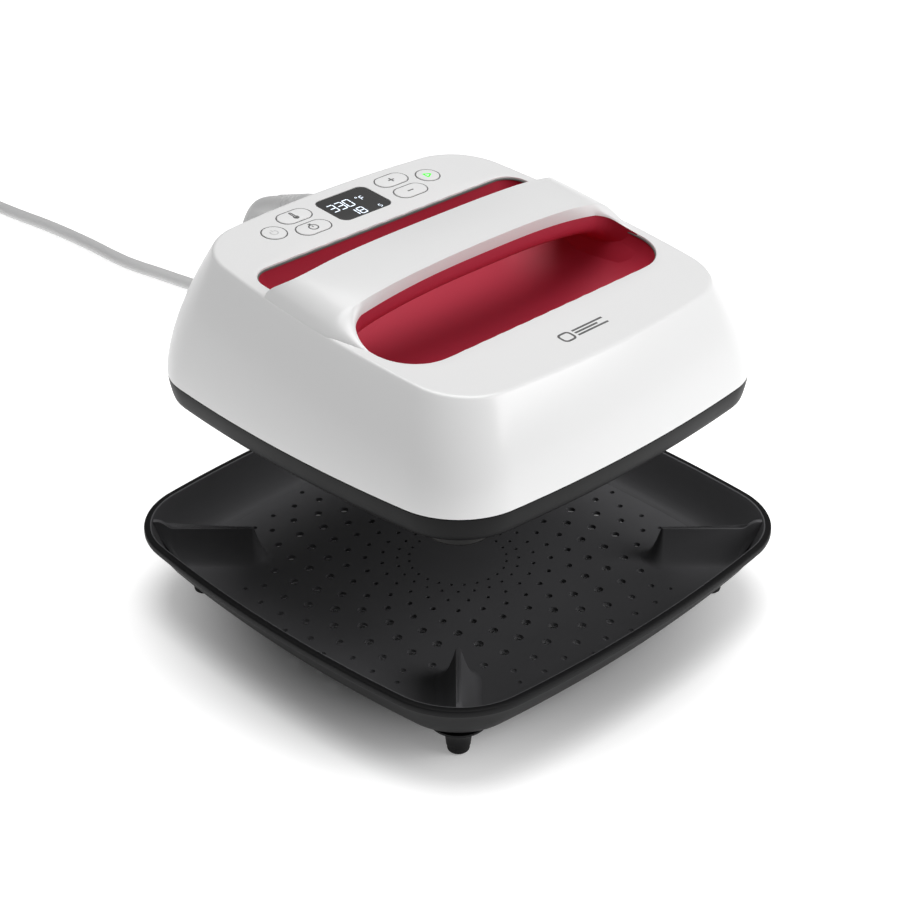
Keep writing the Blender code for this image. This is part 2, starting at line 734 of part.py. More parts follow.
def button_outline(radius, straight):
    """Round button, or a pill with a straight stretch to each side of its middle."""
    points = []
    steps = 8
    for side, start in ((1, -90), (-1, 90)):
        for step in range(steps + 1):
            angle = math.radians(start + 180 * step / steps)
            x = side * straight + radius * math.cos(angle)
            points.append((x, radius * math.sin(angle)))
    if straight == 0:
        return circle(radius)
    return points


def buttons(carriage):
    flange_top = SHELL_WALL + GAP
    for name, (x, y, radius, straight) in BUTTONS.items():
        cap = button_outline(radius, straight)
        flange = button_outline(radius + BUTTON_FLANGE, straight)
        rings = [
            at_level(cap, -BUTTON_DEPTH),
            at_level(cap, -flange_top - BUTTON_FLANGE_THICK),
            at_level(flange, -flange_top - BUTTON_FLANGE_THICK),
            at_level(flange, -flange_top),
            at_level(cap, -flange_top),
            at_level(cap, BUTTON_PROUD),
        ]
        loft(name, rings, "button_white", carriage, panel_place(x, y))


def controls(carriage):
    """Display, keypad sheets and control board under the panel."""
    middle = panel_place(0.0, PANEL_MIDDLE_Y)
    width, depth = WINDOW_SIZE
    window = centred_rectangle(width, depth, WINDOW_CORNER)
    prism("display_window", window, -WINDOW_THICK, 0.0, "smoked_window", carriage, middle)
    module = centred_rectangle(*DISPLAY_SIZE, 0.001)
    prism("display_module", module, GAP - BOARD_DEPTH, -WINDOW_THICK - GAP, "dark_plastic", carriage, middle)
    for name, side in (("keypad_left", -1), ("keypad_right", 1)):
        place = panel_place(side * 0.0475, PANEL_MIDDLE_Y)
        sheet = centred_rectangle(*KEYPAD_SIZE, 0.002)
        low = -KEYPAD_DEPTH - KEYPAD_THICK
        prism(name, sheet, low, -KEYPAD_DEPTH, "silicone", carriage, place)
    board = centred_rectangle(*BOARD_SIZE, 0.002)
    low = -BOARD_DEPTH - BOARD_THICK
    prism("control_board", board, low, -BOARD_DEPTH, "green_board", carriage, middle)
    buzzer = ((0.0060, low - GAP - 0.0055), (0.0060, low - GAP))
    turned("buzzer", buzzer, "dark_plastic", carriage, panel_place(-0.060, PANEL_MIDDLE_Y))


def power_electrics(carriage):
    """Mains board on two posts over the shield, with relay, fuse and terminal block."""
    shield_top = SHIELD_LEVEL + SHIELD_THICK
    width, depth = POWER_BOARD_SIZE
    board = Matrix.Translation((0, POWER_BOARD_Y, 0))
    plate = centred_rectangle(width, depth, 0.002)
    board_top = POWER_BOARD_LEVEL + BOARD_THICK
    prism("power_board", plate, POWER_BOARD_LEVEL, board_top, "green_board", carriage, board)
    post = ((0.0030, shield_top + GAP), (0.0030, POWER_BOARD_LEVEL - GAP))
    for name, side in (("board_post_left", -1), ("board_post_right", 1)):
        place = Matrix.Translation((side * (width / 2 - 0.008), POWER_BOARD_Y, 0))
        turned(name, post, "dark_plastic", carriage, place)
    above = board_top + GAP
    relay = (0.020, 0.016, 0.015)
    box("relay", relay, (-0.035, POWER_BOARD_Y, above + relay[2] / 2), "blue_plastic", carriage)
    block = (0.030, 0.014, 0.012)
    box("terminal_block", block, (0.012, POWER_BOARD_Y - 0.006, above + block[2] / 2), "dark_plastic", carriage)
    lying = Matrix.Rotation(math.pi / 2, 4, "Y")
    fuse_place = Matrix.Translation((0.040, POWER_BOARD_Y + 0.010, above + 0.0030)) @ lying
    fuse = ((0.0026, -0.0100), (0.0026, 0.0100))
    turned("line_fuse", fuse, "ceramic_white", carriage, fuse_place)


# Cord


def relief_direction():
    return Vector((0.0, 1.0, RELIEF_SLOPE)).normalized()


def relief_place():
    """Frame of the strain relief: its Z points out of the rear wall along the cord."""
    turn = relief_direction().to_track_quat("Z", "Y").to_matrix().to_4x4()
    return Matrix.Translation(Vector(RELIEF_START)) @ turn


def strain_relief(carriage):
    stub = RELIEF_BASE_RADIUS - 0.0010
    profile = (
        (stub, -RELIEF_STUB),
        (stub, 0.0075),
        (RELIEF_FLANGE_RADIUS, 0.0095),
        (RELIEF_FLANGE_RADIUS, 0.0115),
        (RELIEF_BASE_RADIUS, 0.0130),
        ((RELIEF_BASE_RADIUS + RELIEF_TIP_RADIUS) / 2, (0.0130 + RELIEF_LENGTH) / 2),
        (RELIEF_TIP_RADIUS, RELIEF_LENGTH),
    )
    turned("strain_relief", profile, "grey_cord", carriage, relief_place())


def smooth_curve(route, spacing):
    """Points every spacing along a centripetal Catmull-Rom curve through the route."""
    knots = [Vector(point) for point in route]
    knots = [2 * knots[0] - knots[1]] + knots + [2 * knots[-1] - knots[-2]]
    fine = []
    for index in range(1, len(knots) - 2):
        before, start, end, after = knots[index - 1 : index + 3]
        first = math.sqrt((start - before).length)
        second = first + math.sqrt((end - start).length)
        third = second + math.sqrt((after - end).length)
        for step in range(40):
            t = first + (second - first) * step / 40
            low = before.lerp(start, t / first)
            middle = start.lerp(end, (t - first) / (second - first))
            high = end.lerp(after, (t - second) / (third - second))
            left = low.lerp(middle, t / second)
            right = middle.lerp(high, (t - first) / (third - first))
            fine.append(left.lerp(right, (t - first) / (second - first)))
    fine.append(knots[-2])
    travelled = [0.0]
    for start, end in zip(fine, fine[1:]):
        travelled.append(travelled[-1] + (end - start).length)
    count = max(2, round(travelled[-1] / spacing))
    points = []
    index = 0
    for step in range(count + 1):
        target = travelled[-1] * step / count
        while index < len(fine) - 2 and travelled[index + 1] < target:
            index += 1
        share = (target - travelled[index]) / (travelled[index + 1] - travelled[index])
        point = fine[index].lerp(fine[index + 1], share)
        point.z = max(point.z, CORD_REST)
        points.append(point)
    return points


def cord():
    """Cord from the strain relief down behind the base, along the table, and into its coil."""
    relief_tip = Vector((0.0, 0.0, HOVER)) + Vector(RELIEF_START)
    relief_tip += relief_direction() * (RELIEF_LENGTH + 2 * GAP)
    route = (
        tuple(relief_tip),
        tuple(relief_tip + relief_direction() * 0.006),
        (0.000, 0.1680, 0.1950),
        (0.000, 0.1780, 0.1800),
        (0.001, 0.1820, 0.1600),
        (0.003, 0.1840, 0.1200),
        (0.010, 0.1900, 0.0800),
        (0.022, 0.2050, 0.0420),
        (0.042, 0.2320, 0.0150),
        (0.068, 0.2680, CORD_REST),
        (0.102, 0.3130, CORD_REST),
        (0.136, 0.3650, CORD_REST),
        (0.149, 0.4150, CORD_REST),
        (0.144, 0.4600, CORD_REST),
        (0.137, 0.5060, CORD_REST),
        (0.137, 0.5600, CORD_REST),
        (0.135, 0.6080, CORD_REST),
        (0.130, 0.6550, CORD_REST),
        (0.128, 0.6925, CORD_REST),
    )
    tube("power_cord", smooth_curve(route, CORD_SPACING), CORD_RADIUS, "grey_cord")
    half_width = CORD_RADIUS * COIL_TURNS_WIDE + 0.0006
    inner = COIL_RADIUS - half_width
    outer = COIL_RADIUS + half_width
    round_off = 0.004
    section = (
        (inner + round_off, GAP),
        (outer - round_off, GAP),
        (outer, GAP + round_off),
        (outer, COIL_HEIGHT - round_off),
        (outer - round_off, COIL_HEIGHT),
        (inner + round_off, COIL_HEIGHT),
        (inner, COIL_HEIGHT - round_off),
        (inner, GAP + round_off),
    )
    middle_x, middle_y = COIL_MIDDLE
    rings = [at_level(circle(radius, 32), level) for radius, level in section]
    place = Matrix.Translation((middle_x, middle_y, 0))
    loft("cord_coil", rings, "grey_cord", None, place, closed=True)
    plug(middle_x - COIL_RADIUS, middle_y - math.sqrt(outer**2 - (COIL_RADIUS - CORD_RADIUS) ** 2))


def plug(x, rear_y):
    """Moulded plug lying beside the coil with its two blades and its round earth pin."""
    end_y = rear_y - 2 * GAP
    width = PLUG_WIDTH
    height = PLUG_HEIGHT
    level = height / 2 + GAP
    section = ((0.35, 0.0), (0.40, 0.30), (0.98, 0.55), (1.0, 0.75), (0.96, 1.0))
    rings = []
    for size, along in section:
        face = centred_rectangle(width * size, height * size, 0.006 * size)
        rings.append(at_level(face, along * PLUG_LENGTH))
    lying = Matrix.Rotation(math.pi / 2, 4, "X")
    place = Matrix.Translation((x, end_y, level)) @ lying
    loft("mains_plug", rings, "grey_plug", None, place)
    face_at = PLUG_LENGTH + GAP
    blade = (0.0016, 0.0064)
    for name, side in (("plug_blade_left", -1), ("plug_blade_right", 1)):
        points = centred_rectangle(*blade, 0.0005)
        shifted = [(point_x + side * 0.0064, point_y + 0.002) for point_x, point_y in points]
        prism(name, shifted, face_at, face_at + 0.017, "brass_pin", None, place)
    earth = circle(0.0024, 12, 0.0, -0.0062)
    prism("plug_earth_pin", earth, face_at, face_at + 0.019, "brass_pin", None, place)


def inner_lead(carriage):
    """Sheathed lead from the strain relief's inner end down to the terminal block."""
    start = Vector(RELIEF_START) - relief_direction() * (RELIEF_STUB + 4 * GAP)
    straight = start - relief_direction() * 0.0025
    block_top = POWER_BOARD_LEVEL + BOARD_THICK + 2 * GAP + 0.012 + LEAD_RADIUS
    route = (
        tuple(start),
        tuple(straight),
        (0.0010, start.y - 0.0060, start.z - 0.0040),
        (0.0030, start.y - 0.0085, start.z - 0.0130),
        (0.0090, start.y - 0.0140, start.z - 0.0260),
        (0.0120, POWER_BOARD_Y - 0.006, block_top),
    )
    tube("inner_lead", smooth_curve(route, 0.005), LEAD_RADIUS, "dark_plastic", carriage)


def press():
    carriage = bpy.data.objects.new("press_carriage", None)
    bpy.context.collection.objects.link(carriage)
    carriage.location = (0.0, 0.0, HOVER)
    skirt(carriage)
    upper_shell(carriage)
    well_liner(carriage)
    handle_grip(carriage)
    heat_plate(carriage)
    heating_element(carriage)
    heat_stack(carriage)
    buttons(carriage)
    controls(carriage)
    power_electrics(carriage)
    strain_relief(carriage)
    inner_lead(carriage)


clear_scene()
base()
press()
cord()
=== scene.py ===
# %% [markdown]
# # A hand heat press hovering over its base tray
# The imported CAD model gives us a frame: bodies that move, and a plain solid for every part.
# This lesson adds the looks. Each visible part is a surface worked out with numpy on a grid,
# and each finish is a small node tree that starts from what the real material is.

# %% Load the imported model
import bmesh
import bpy
import numpy as np
from mathutils import Matrix, Vector


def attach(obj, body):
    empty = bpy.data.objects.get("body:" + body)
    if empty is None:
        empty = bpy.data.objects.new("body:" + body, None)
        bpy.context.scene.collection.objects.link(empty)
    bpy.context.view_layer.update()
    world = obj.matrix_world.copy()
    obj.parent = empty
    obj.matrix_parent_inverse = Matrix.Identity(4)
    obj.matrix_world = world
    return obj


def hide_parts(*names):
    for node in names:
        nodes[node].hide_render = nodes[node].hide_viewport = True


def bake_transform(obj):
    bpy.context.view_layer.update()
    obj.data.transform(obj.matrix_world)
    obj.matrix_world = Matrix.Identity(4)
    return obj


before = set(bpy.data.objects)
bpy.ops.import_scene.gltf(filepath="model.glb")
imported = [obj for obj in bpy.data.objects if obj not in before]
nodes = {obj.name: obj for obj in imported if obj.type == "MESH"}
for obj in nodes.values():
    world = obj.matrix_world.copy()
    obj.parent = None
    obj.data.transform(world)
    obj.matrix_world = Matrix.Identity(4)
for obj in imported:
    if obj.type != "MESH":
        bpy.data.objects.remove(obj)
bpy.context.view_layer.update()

# %% [markdown]
# ## The camera
# The object is seen from its front left corner, 30 degrees down, with a long lens, so its
# square outline shows as a diamond with little perspective.

# %% Camera
eye = bpy.data.cameras.new("viewpoint")
eye.lens = 79.26
eye.sensor_width = 36
camera = bpy.data.objects.new("viewpoint", eye)
bpy.context.collection.objects.link(camera)
camera.location = (-0.6986, -0.6923, 0.6652)
camera.rotation_euler = np.radians([59.94, 0, -45])
bpy.context.scene.camera = camera
print("camera", round(camera.location.length, 2), "m from the middle of the base")

# %% [markdown]
# ## Meshes from grids
# Nearly every shape here is a stack of rings. A ring is a closed row of points, and two
# neighbouring rings are joined by quads. Blender gets the whole arrays at once.


# %% Grid helpers
def mesh_piece(name, points, faces, sharp=30):
    """Makes a mesh object at the origin. Faces turn outwards; edges over sharp degrees stay crisp."""
    mesh = bpy.data.meshes.new(name)
    mesh.from_pydata(np.asarray(points, float).reshape(-1, 3).tolist(), [], faces)
    work = bmesh.new()
    work.from_mesh(mesh)
    bmesh.ops.recalc_face_normals(work, faces=work.faces)
    work.to_mesh(mesh)
    work.free()
    mesh.shade_smooth()
    mesh.set_sharp_from_angle(angle=np.radians(sharp))
    piece = bpy.data.objects.new(name, mesh)
    bpy.context.collection.objects.link(piece)
    return piece


def ring_faces(count, size, closed, start=0):
    """Quads between ring i and ring i + 1. Open stacks get flat end caps, closed ones join up."""
    index = start + np.arange(count * size).reshape(count, size)
    low = index if closed else index[:-1]
    high = np.roll(index, -1, 0) if closed else index[1:]
    quads = np.stack([low, np.roll(low, -1, 1), np.roll(high, -1, 1), high], -1)
    faces = quads.reshape(-1, 4).tolist()
    if not closed:
        faces += [index[0][::-1].tolist(), index[-1].tolist()]
    return faces


def lofted(name, rings, closed=False, sharp=30):
    """A stack of rings, an array of (ring, point, xyz), as one closed mesh."""
    rings = np.asarray(rings, float)
    faces = ring_faces(rings.shape[0], rings.shape[1], closed)
    return mesh_piece(name, rings, faces, sharp)


def joined_lofts(name, stacks, sharp=30):
    """Several separate stacks of rings in one mesh, such as the segments of a digit."""
    points, faces, start = [], [], 0
    for rings in stacks:
        rings = np.asarray(rings, float)
        faces += ring_faces(rings.shape[0], rings.shape[1], False, start)
        points.append(rings.reshape(-1, 3))
        start += rings.shape[0] * rings.shape[1]
    return mesh_piece(name, np.concatenate(points), faces, sharp)


def lifted(plan, level):
    """A plan outline of (x, y) points set at one height, or at a height for each point."""
    return np.column_stack([plan, np.broadcast_to(level, len(plan))])


def circle(radius, count=48, middle=(0.0, 0.0)):
    """Points at radius times the cosine and sine of equal steps of a full turn."""
    turn = np.linspace(0, 2 * np.pi, count, endpoint=False)
    return np.column_stack([middle[0] + radius * np.cos(turn), middle[1] + radius * np.sin(turn)])


def turned(profile, count=48):
    """Rings of a solid of revolution about Z from (radius, height) pairs."""
    return np.stack([lifted(circle(radius, count), height) for radius, height in profile])


def moved(rings, matrix):
    """The rings carried by a 4 by 4 matrix."""
    matrix = np.array(matrix)
    return np.asarray(rings, float) @ matrix[:3, :3].T + matrix[:3, 3]


def hump(share):
    """Smooth step: three share squared minus two share cubed."""
    share = np.clip(share, 0, 1)
    return share * share * (3 - 2 * share)


print("grid helpers are ready")

# %% [markdown]
# ## The mains cord
# A round vinyl lead, 9.8 mm thick and about 1.66 m long. It leaves the rear wall, hangs down
# behind the press, and runs over the table to a small coil. The route has to be the one the
# CAD model uses, so the same guide points are repeated, and a Catmull-Rom curve runs through
# them. The coil is worked out as an angle that grows: two flat turns, and one laid on top.

# %% Cord route
HOVER = 0.1363
CORD_RADIUS = 0.0049
CORD_REST = 0.0050
RELIEF_START = np.array([0.0, 0.1127, 0.0757 + HOVER])
RELIEF_DIRECTION = np.array([0.0, 1.0, -0.2411]) / np.hypot(1.0, 0.2411)
RELIEF_LENGTH = 0.036
relief_tip = RELIEF_START + RELIEF_DIRECTION * RELIEF_LENGTH
route = np.array([
    relief_tip,
    relief_tip + RELIEF_DIRECTION * 0.0066,
    (0.000, 0.1680, 0.1950),
    (0.000, 0.1780, 0.1800),
    (0.001, 0.1820, 0.1600),
    (0.003, 0.1840, 0.1200),
    (0.010, 0.1900, 0.0800),
    (0.022, 0.2050, 0.0420),
    (0.042, 0.2320, 0.0150),
    (0.068, 0.2680, CORD_REST),
    (0.102, 0.3130, CORD_REST),
    (0.136, 0.3650, CORD_REST),
    (0.149, 0.4150, CORD_REST),
    (0.144, 0.4600, CORD_REST),
    (0.137, 0.5060, CORD_REST),
    (0.137, 0.5600, CORD_REST),
    (0.135, 0.6080, CORD_REST),
    (0.130, 0.6550, CORD_REST),
    (0.128, 0.6925, CORD_REST),
])


def smooth_route(route, steps=24):
    """Centripetal Catmull-Rom curve: between two guide points it is a blend of lines through four
    of them, spaced by the roots of their distances."""
    knots = np.vstack([2 * route[0] - route[1], route, 2 * route[-1] - route[-2]])
    gaps = np.sqrt(np.linalg.norm(np.diff(knots, axis=0), axis=1))
    before, start, end, after = (knots[k : len(knots) - 3 + k][:, None, :] for k in range(4))
    first, second, third = (gaps[k : len(gaps) - 2 + k][:, None, None] for k in range(3))
    t = np.linspace(0, 1, steps, endpoint=False)[None, :, None] * second + first
    near, far = first + second, first + second + third
    low = before + (start - before) * t / first
    middle = start + (end - start) * (t - first) / second
    high = end + (after - end) * (t - near) / third
    left = low + (middle - low) * t / near
    right = middle + (high - middle) * (t - first) / (far - first)
    curve = left + (right - left) * (t - first) / second
    return np.vstack([curve.reshape(-1, 3), route[-1]])


def even_spacing(path, spacing):
    """The same line with its points a constant distance apart."""
    travelled = np.concatenate([[0], np.cumsum(np.linalg.norm(np.diff(path, axis=0), axis=1))])
    at = np.linspace(0, travelled[-1], max(2, round(travelled[-1] / spacing) + 1))
    return np.column_stack([np.interp(at, travelled, path[:, axis]) for axis in range(3)])


COIL_MIDDLE = np.array([0.074, 0.735])
COIL_OUTER = 0.0592
COIL_INNER = 0.0492
COIL_TOP = 0.0545
degrees = np.arange(0, 901, 6.0)
coil_radii = [COIL_OUTER, COIL_OUTER, COIL_INNER, COIL_INNER, COIL_TOP, COIL_TOP]
radius = np.interp(degrees, [0, 290, 360, 590, 680, 900], coil_radii)
level = CORD_REST + 0.0099 * hump((degrees - 560) / 90)
turn = np.radians(degrees)
coil = lifted(COIL_MIDDLE + radius[:, None] * np.column_stack([np.cos(turn), np.sin(turn)]), level)
lead_in = np.array([[0.1300, 0.7090, CORD_REST], [0.1324, 0.7220, CORD_REST]])
PLUG_REAR = np.array([0.020, 0.6927, 0.0113])
lead_out = np.array([[0.0194, 0.7200, 0.0143], PLUG_REAR + [0, 0.012, 0.0008], PLUG_REAR])
cord_line = smooth_route(np.vstack([route, lead_in, coil[::3], lead_out]), 12)
cord_line[:, 2] = np.maximum(cord_line[:, 2], CORD_REST)
cord_line = even_spacing(cord_line, 0.0035)


# %% Cord tube
def tube_rings(path, radii, count=20):
    """Circles across a path. The first normal is carried along and kept square to the path."""
    path = np.asarray(path, float)
    along = np.gradient(path, axis=0)
    along /= np.linalg.norm(along, axis=1)[:, None]
    side = np.cross(along[0], [0.31, 0.2, 0.93])
    sides = []
    for direction in along:
        side = side - direction * (side @ direction)
        side = side / np.linalg.norm(side)
        sides.append(side)
    sides = np.array(sides)
    across = np.cross(along, sides)
    turn = np.linspace(0, 2 * np.pi, count, endpoint=False)[None, :, None]
    radii = np.broadcast_to(radii, len(path))[:, None, None]
    return path[:, None, :] + radii * (sides[:, None, :] * np.cos(turn) + across[:, None, :] * np.sin(turn))


cord = lofted("mains_cord", tube_rings(cord_line, CORD_RADIUS))
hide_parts("power_cord", "cord_coil")
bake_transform(cord)
print("cord tube:", len(cord.data.vertices), "points")

# %% [markdown]
# ## Materials
# Each finish is built by one function that adds a node with its settings and its links. The
# colours are written as sRGB hex values, as a maker would read them off a sample, and turned
# to linear light here. Numbers that are the same all over go straight on the shader.


# %% Material helpers
def linear(hex_colour):
    """sRGB to linear light: a twelfth below 0.04, and a power of 2.4 above."""
    channels = np.array([int(hex_colour[k : k + 2], 16) / 255 for k in (1, 3, 5)])
    low, high = channels / 12.92, ((channels + 0.055) / 1.055) ** 2.4
    return (*np.where(channels <= 0.04045, low, high).tolist(), 1.0)


def add_node(tree, kind, settings=(), links=()):
    """Adds a node, sets its properties or input values, and links inputs to the outputs given."""
    node = tree.nodes.new(kind)
    for key, value in dict(settings).items():
        if isinstance(key, str) and hasattr(node, key):
            setattr(node, key, value)
        else:
            node.inputs[key].default_value = value
    for key, output in dict(links).items():
        tree.links.new(output, node.inputs[key])
    return node


def finish(name, colour, rough, settings=(), grain=(0.5, 0.004), mottle=(0.04, 40), rough_swing=0.05):
    """A moulded or machined finish: a slow mottle in the colour, a fine grain in the bump, and a
    little swing in the roughness. Grain is its size and depth, and mottle its strength and size;
    the sizes and the depth are in millimetres."""
    grain_size, grain_depth = grain
    mottle_strength, mottle_size = mottle
    material = bpy.data.materials.new(name)
    material.use_nodes = True
    tree = material.node_tree
    tree.nodes.clear()
    place = add_node(tree, "ShaderNodeTexCoord").outputs["Object"]
    broad, narrow = {"Scale": 1000 / mottle_size, "Detail": 3.0}, {"Scale": 1000 / grain_size, "Detail": 2.0}
    slow = add_node(tree, "ShaderNodeTexNoise", broad, {"Vector": place})
    fine = add_node(tree, "ShaderNodeTexNoise", narrow, {"Vector": place})
    base = np.array(linear(colour))
    dark = (*(base[:3] * (1 - mottle_strength)).tolist(), 1.0)
    light = (*np.clip(base[:3] * (1 + mottle_strength), 0, 1).tolist(), 1.0)
    tint = add_node(tree, "ShaderNodeMix", {"data_type": "RGBA"}, {0: slow.outputs["Fac"]})
    tint.inputs[6].default_value = dark
    tint.inputs[7].default_value = light
    swing = add_node(
        tree,
        "ShaderNodeMapRange",
        {"To Min": max(0.02, rough - rough_swing), "To Max": min(1.0, rough + rough_swing)},
        {"Value": slow.outputs["Fac"]},
    )
    bump = add_node(
        tree,
        "ShaderNodeBump",
        {"Strength": 0.6, "Distance": grain_depth / 1000},
        {"Height": fine.outputs["Fac"]},
    )
    shader = add_node(
        tree,
        "ShaderNodeBsdfPrincipled",
        settings,
        {"Base Color": tint.outputs[2], "Roughness": swing.outputs[0], "Normal": bump.outputs[0]},
    )
    add_node(tree, "ShaderNodeOutputMaterial", {}, {"Surface": shader.outputs[0]})
    return material


def glow(name, colour, strength):
    """A lit part, such as a display's segments."""
    material = bpy.data.materials.new(name)
    material.use_nodes = True
    tree = material.node_tree
    tree.nodes.clear()
    place = add_node(tree, "ShaderNodeTexCoord").outputs["Object"]
    speck = add_node(tree, "ShaderNodeTexNoise", {"Scale": 3000.0}, {"Vector": place})
    limits = {"To Min": 0.3, "To Max": 0.5}
    rough = add_node(tree, "ShaderNodeMapRange", limits, {"Value": speck.outputs["Fac"]})
    shader = add_node(
        tree,
        "ShaderNodeBsdfPrincipled",
        {"Base Color": linear(colour), "Emission Color": linear(colour), "Emission Strength": strength},
        {"Roughness": rough.outputs[0]},
    )
    add_node(tree, "ShaderNodeOutputMaterial", {}, {"Surface": shader.outputs[0]})
    return material


def dressed(piece, material, body, *replaced):
    """Gives a piece its material and its body, and hides the CAD solids it stands for."""
    piece.data.materials.clear()
    piece.data.materials.append(material)
    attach(piece, body)
    if replaced:
        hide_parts(*replaced)
    return piece


# %% Materials of this object
# Glossy white ABS, injection moulded: bright, with a soft reflection and hardly any grain.
white_abs = finish(
    "white ABS, polished mould", "#EDEDED", 0.30,
    {"IOR": 1.53, "Coat Weight": 0.12, "Coat Roughness": 0.12},
    grain=(1.2, 0.002), mottle=(0.008, 90), rough_swing=0.03,
)
# Raspberry red polypropylene, with the fine spark texture that keeps finger marks away.
red_polypropylene = finish(
    "red polypropylene, spark texture", "#BC2F46", 0.58, {"IOR": 1.49, "Specular IOR Level": 0.35},
    grain=(0.6, 0.010), mottle=(0.03, 30),
)
# Black glass-filled nylon, the outside of the base: matte, with a fine moulded grain.
black_nylon = finish(
    "black nylon, smooth outside", "#161617", 0.55, {"IOR": 1.53, "Specular IOR Level": 0.15},
    grain=(0.7, 0.020), mottle=(0.10, 25), rough_swing=0.07,
)
# The tray's inside, floor and ribs: the same nylon, coarser grained and painted lighter for the light
# falling in.
nylon_painted_lit = finish(
    "black nylon, inside painted lighter", "#5C5C5E", 0.62, {"IOR": 1.53, "Specular IOR Level": 0.3},
    grain=(0.6, 0.030), mottle=(0.08, 25), rough_swing=0.07,
)
# Black phenolic resin of the heat skirt: darker and a little smoother than the base.
black_phenolic = finish(
    "black phenolic, satin", "#0B0B0C", 0.45, {"IOR": 1.6, "Specular IOR Level": 0.12},
    grain=(0.8, 0.010), mottle=(0.08, 30),
)
# Black silicone rubber feet: dull enough to show no highlight, so they read as soft.
rubber = finish(
    "black silicone rubber foot", "#161616", 0.78, {"IOR": 1.41},
    grain=(0.5, 0.02), mottle=(0.1, 6),
)
# Die-cast aluminium plate under a dark ceramic non-stick coat, speckled like an oven dish.
ceramic_coat = finish(
    "ceramic coated aluminium", "#121110", 0.4, {"Specular IOR Level": 0.2},
    grain=(0.9, 0.012), mottle=(0.25, 1.4), rough_swing=0.1,
)
# Extruded PVC of the lead: smooth along its length, with a broad, soft highlight.
cord_vinyl = finish(
    "grey PVC, extruded", "#D0D0D0", 0.42, {"IOR": 1.53},
    grain=(1.0, 0.010), mottle=(0.03, 25),
)
# Moulded PVC of the plug: a shade darker and duller than the lead it is moulded on.
plug_vinyl = finish(
    "grey PVC, moulded plug", "#C6C6C6", 0.50, {"IOR": 1.53},
    grain=(0.6, 0.014), mottle=(0.04, 12),
)
# Smoked acrylic: smooth and dark, it mirrors the light above, so the lit figures stand out.
smoked_acrylic = finish(
    "smoked acrylic window", "#464646", 0.22, {"IOR": 1.49},
    grain=(2.0, 0.001), mottle=(0.02, 30), rough_swing=0.02,
)
# The button caps: the shell's white ABS, a touch duller, so each cap reads as its own part.
button_abs = finish(
    "white ABS button cap", "#EDEDED", 0.36, {"IOR": 1.53},
    grain=(0.8, 0.002), mottle=(0.008, 20),
)
# Pad-print ink dries matte and slightly uneven, and lies on the gloss like chalk.
# The same grey also rings each button as painted shade for the dark gap round its cap.
grey_ink_and_gap_shade = finish("grey pad-print ink", "#5E5E5E", 0.55, grain=(0.5, 0.002), mottle=(0.06, 1.5))
# A paler ink for the power sign, which hardly shows against the white cap.
pale_ink = finish("pale grey pad-print ink", "#CFCFCF", 0.5, grain=(0.5, 0.002), mottle=(0.01, 2))
# The soft sealing lip round the opening: a thin dull line between white and red.
dark_gasket = finish("grey-green sealing lip", "#6F7B77", 0.6, grain=(0.5, 0.004), mottle=(0.08, 5))
# Display segments glow a cool white, weakly enough to keep their edges.
lit_white = glow("white display segments", "#E8F2FF", 0.75)
# The start light is a saturated green, bright but not burnt out.
lit_green = glow("green start light", "#35DD1C", 0.8)
# Zinc plating on steel: a grey mirror with a cloudy, spangled roughness.
zinc_steel = finish(
    "zinc plated steel", "#B9BCBE", 0.32, {"Metallic": 1.0},
    grain=(0.4, 0.004), mottle=(0.12, 8),
)
# Steel that has been hot: its oxide is brownish, and blurs what it reflects.
oxidised_steel = finish(
    "oxidised element sheath", "#8A857C", 0.45, {"Metallic": 1.0},
    grain=(0.5, 0.008), mottle=(0.2, 10),
)
# Nickel over brass on the plug's blades: bright, with a trace of warmth.
nickel_brass = finish(
    "nickel plated brass", "#CFC9B6", 0.22, {"Metallic": 1.0},
    grain=(0.5, 0.002), mottle=(0.04, 6),
)
# Needled glass wool: no highlight at all, and a deep felt-like nap.
glass_wool = finish("needled glass wool", "#DDD7C3", 0.95, grain=(1.2, 0.3), mottle=(0.10, 4))
# Solder mask is a thin glossy green lacquer over a woven board.
circuit_board = finish(
    "green solder mask on glass epoxy", "#1E6B3A", 0.35, {"IOR": 1.55},
    grain=(1.0, 0.02), mottle=(0.10, 3),
)
# Translucent silicone looks milky, with a dull, waxy surface.
milky_silicone = finish(
    "translucent silicone keypad", "#C2C6C8", 0.6, {"IOR": 1.41},
    grain=(0.8, 0.006), mottle=(0.04, 8),
)
# PBT housings: dark, with the slight sheen of a mineral-filled plastic.
black_pbt = finish("black PBT part", "#333335", 0.45, {"IOR": 1.55}, grain=(0.5, 0.01), mottle=(0.08, 6))
# A relay case of the same plastic, in blue and a little glossier.
blue_pbt = finish(
    "blue PBT relay case", "#28528F", 0.4, {"IOR": 1.55},
    grain=(0.5, 0.006), mottle=(0.05, 6),
)
# Glazed steatite: off-white, with the hard highlight of a glaze.
steatite = finish("glazed steatite", "#E9E5DA", 0.25, {"IOR": 1.5}, grain=(1.0, 0.004), mottle=(0.03, 5))

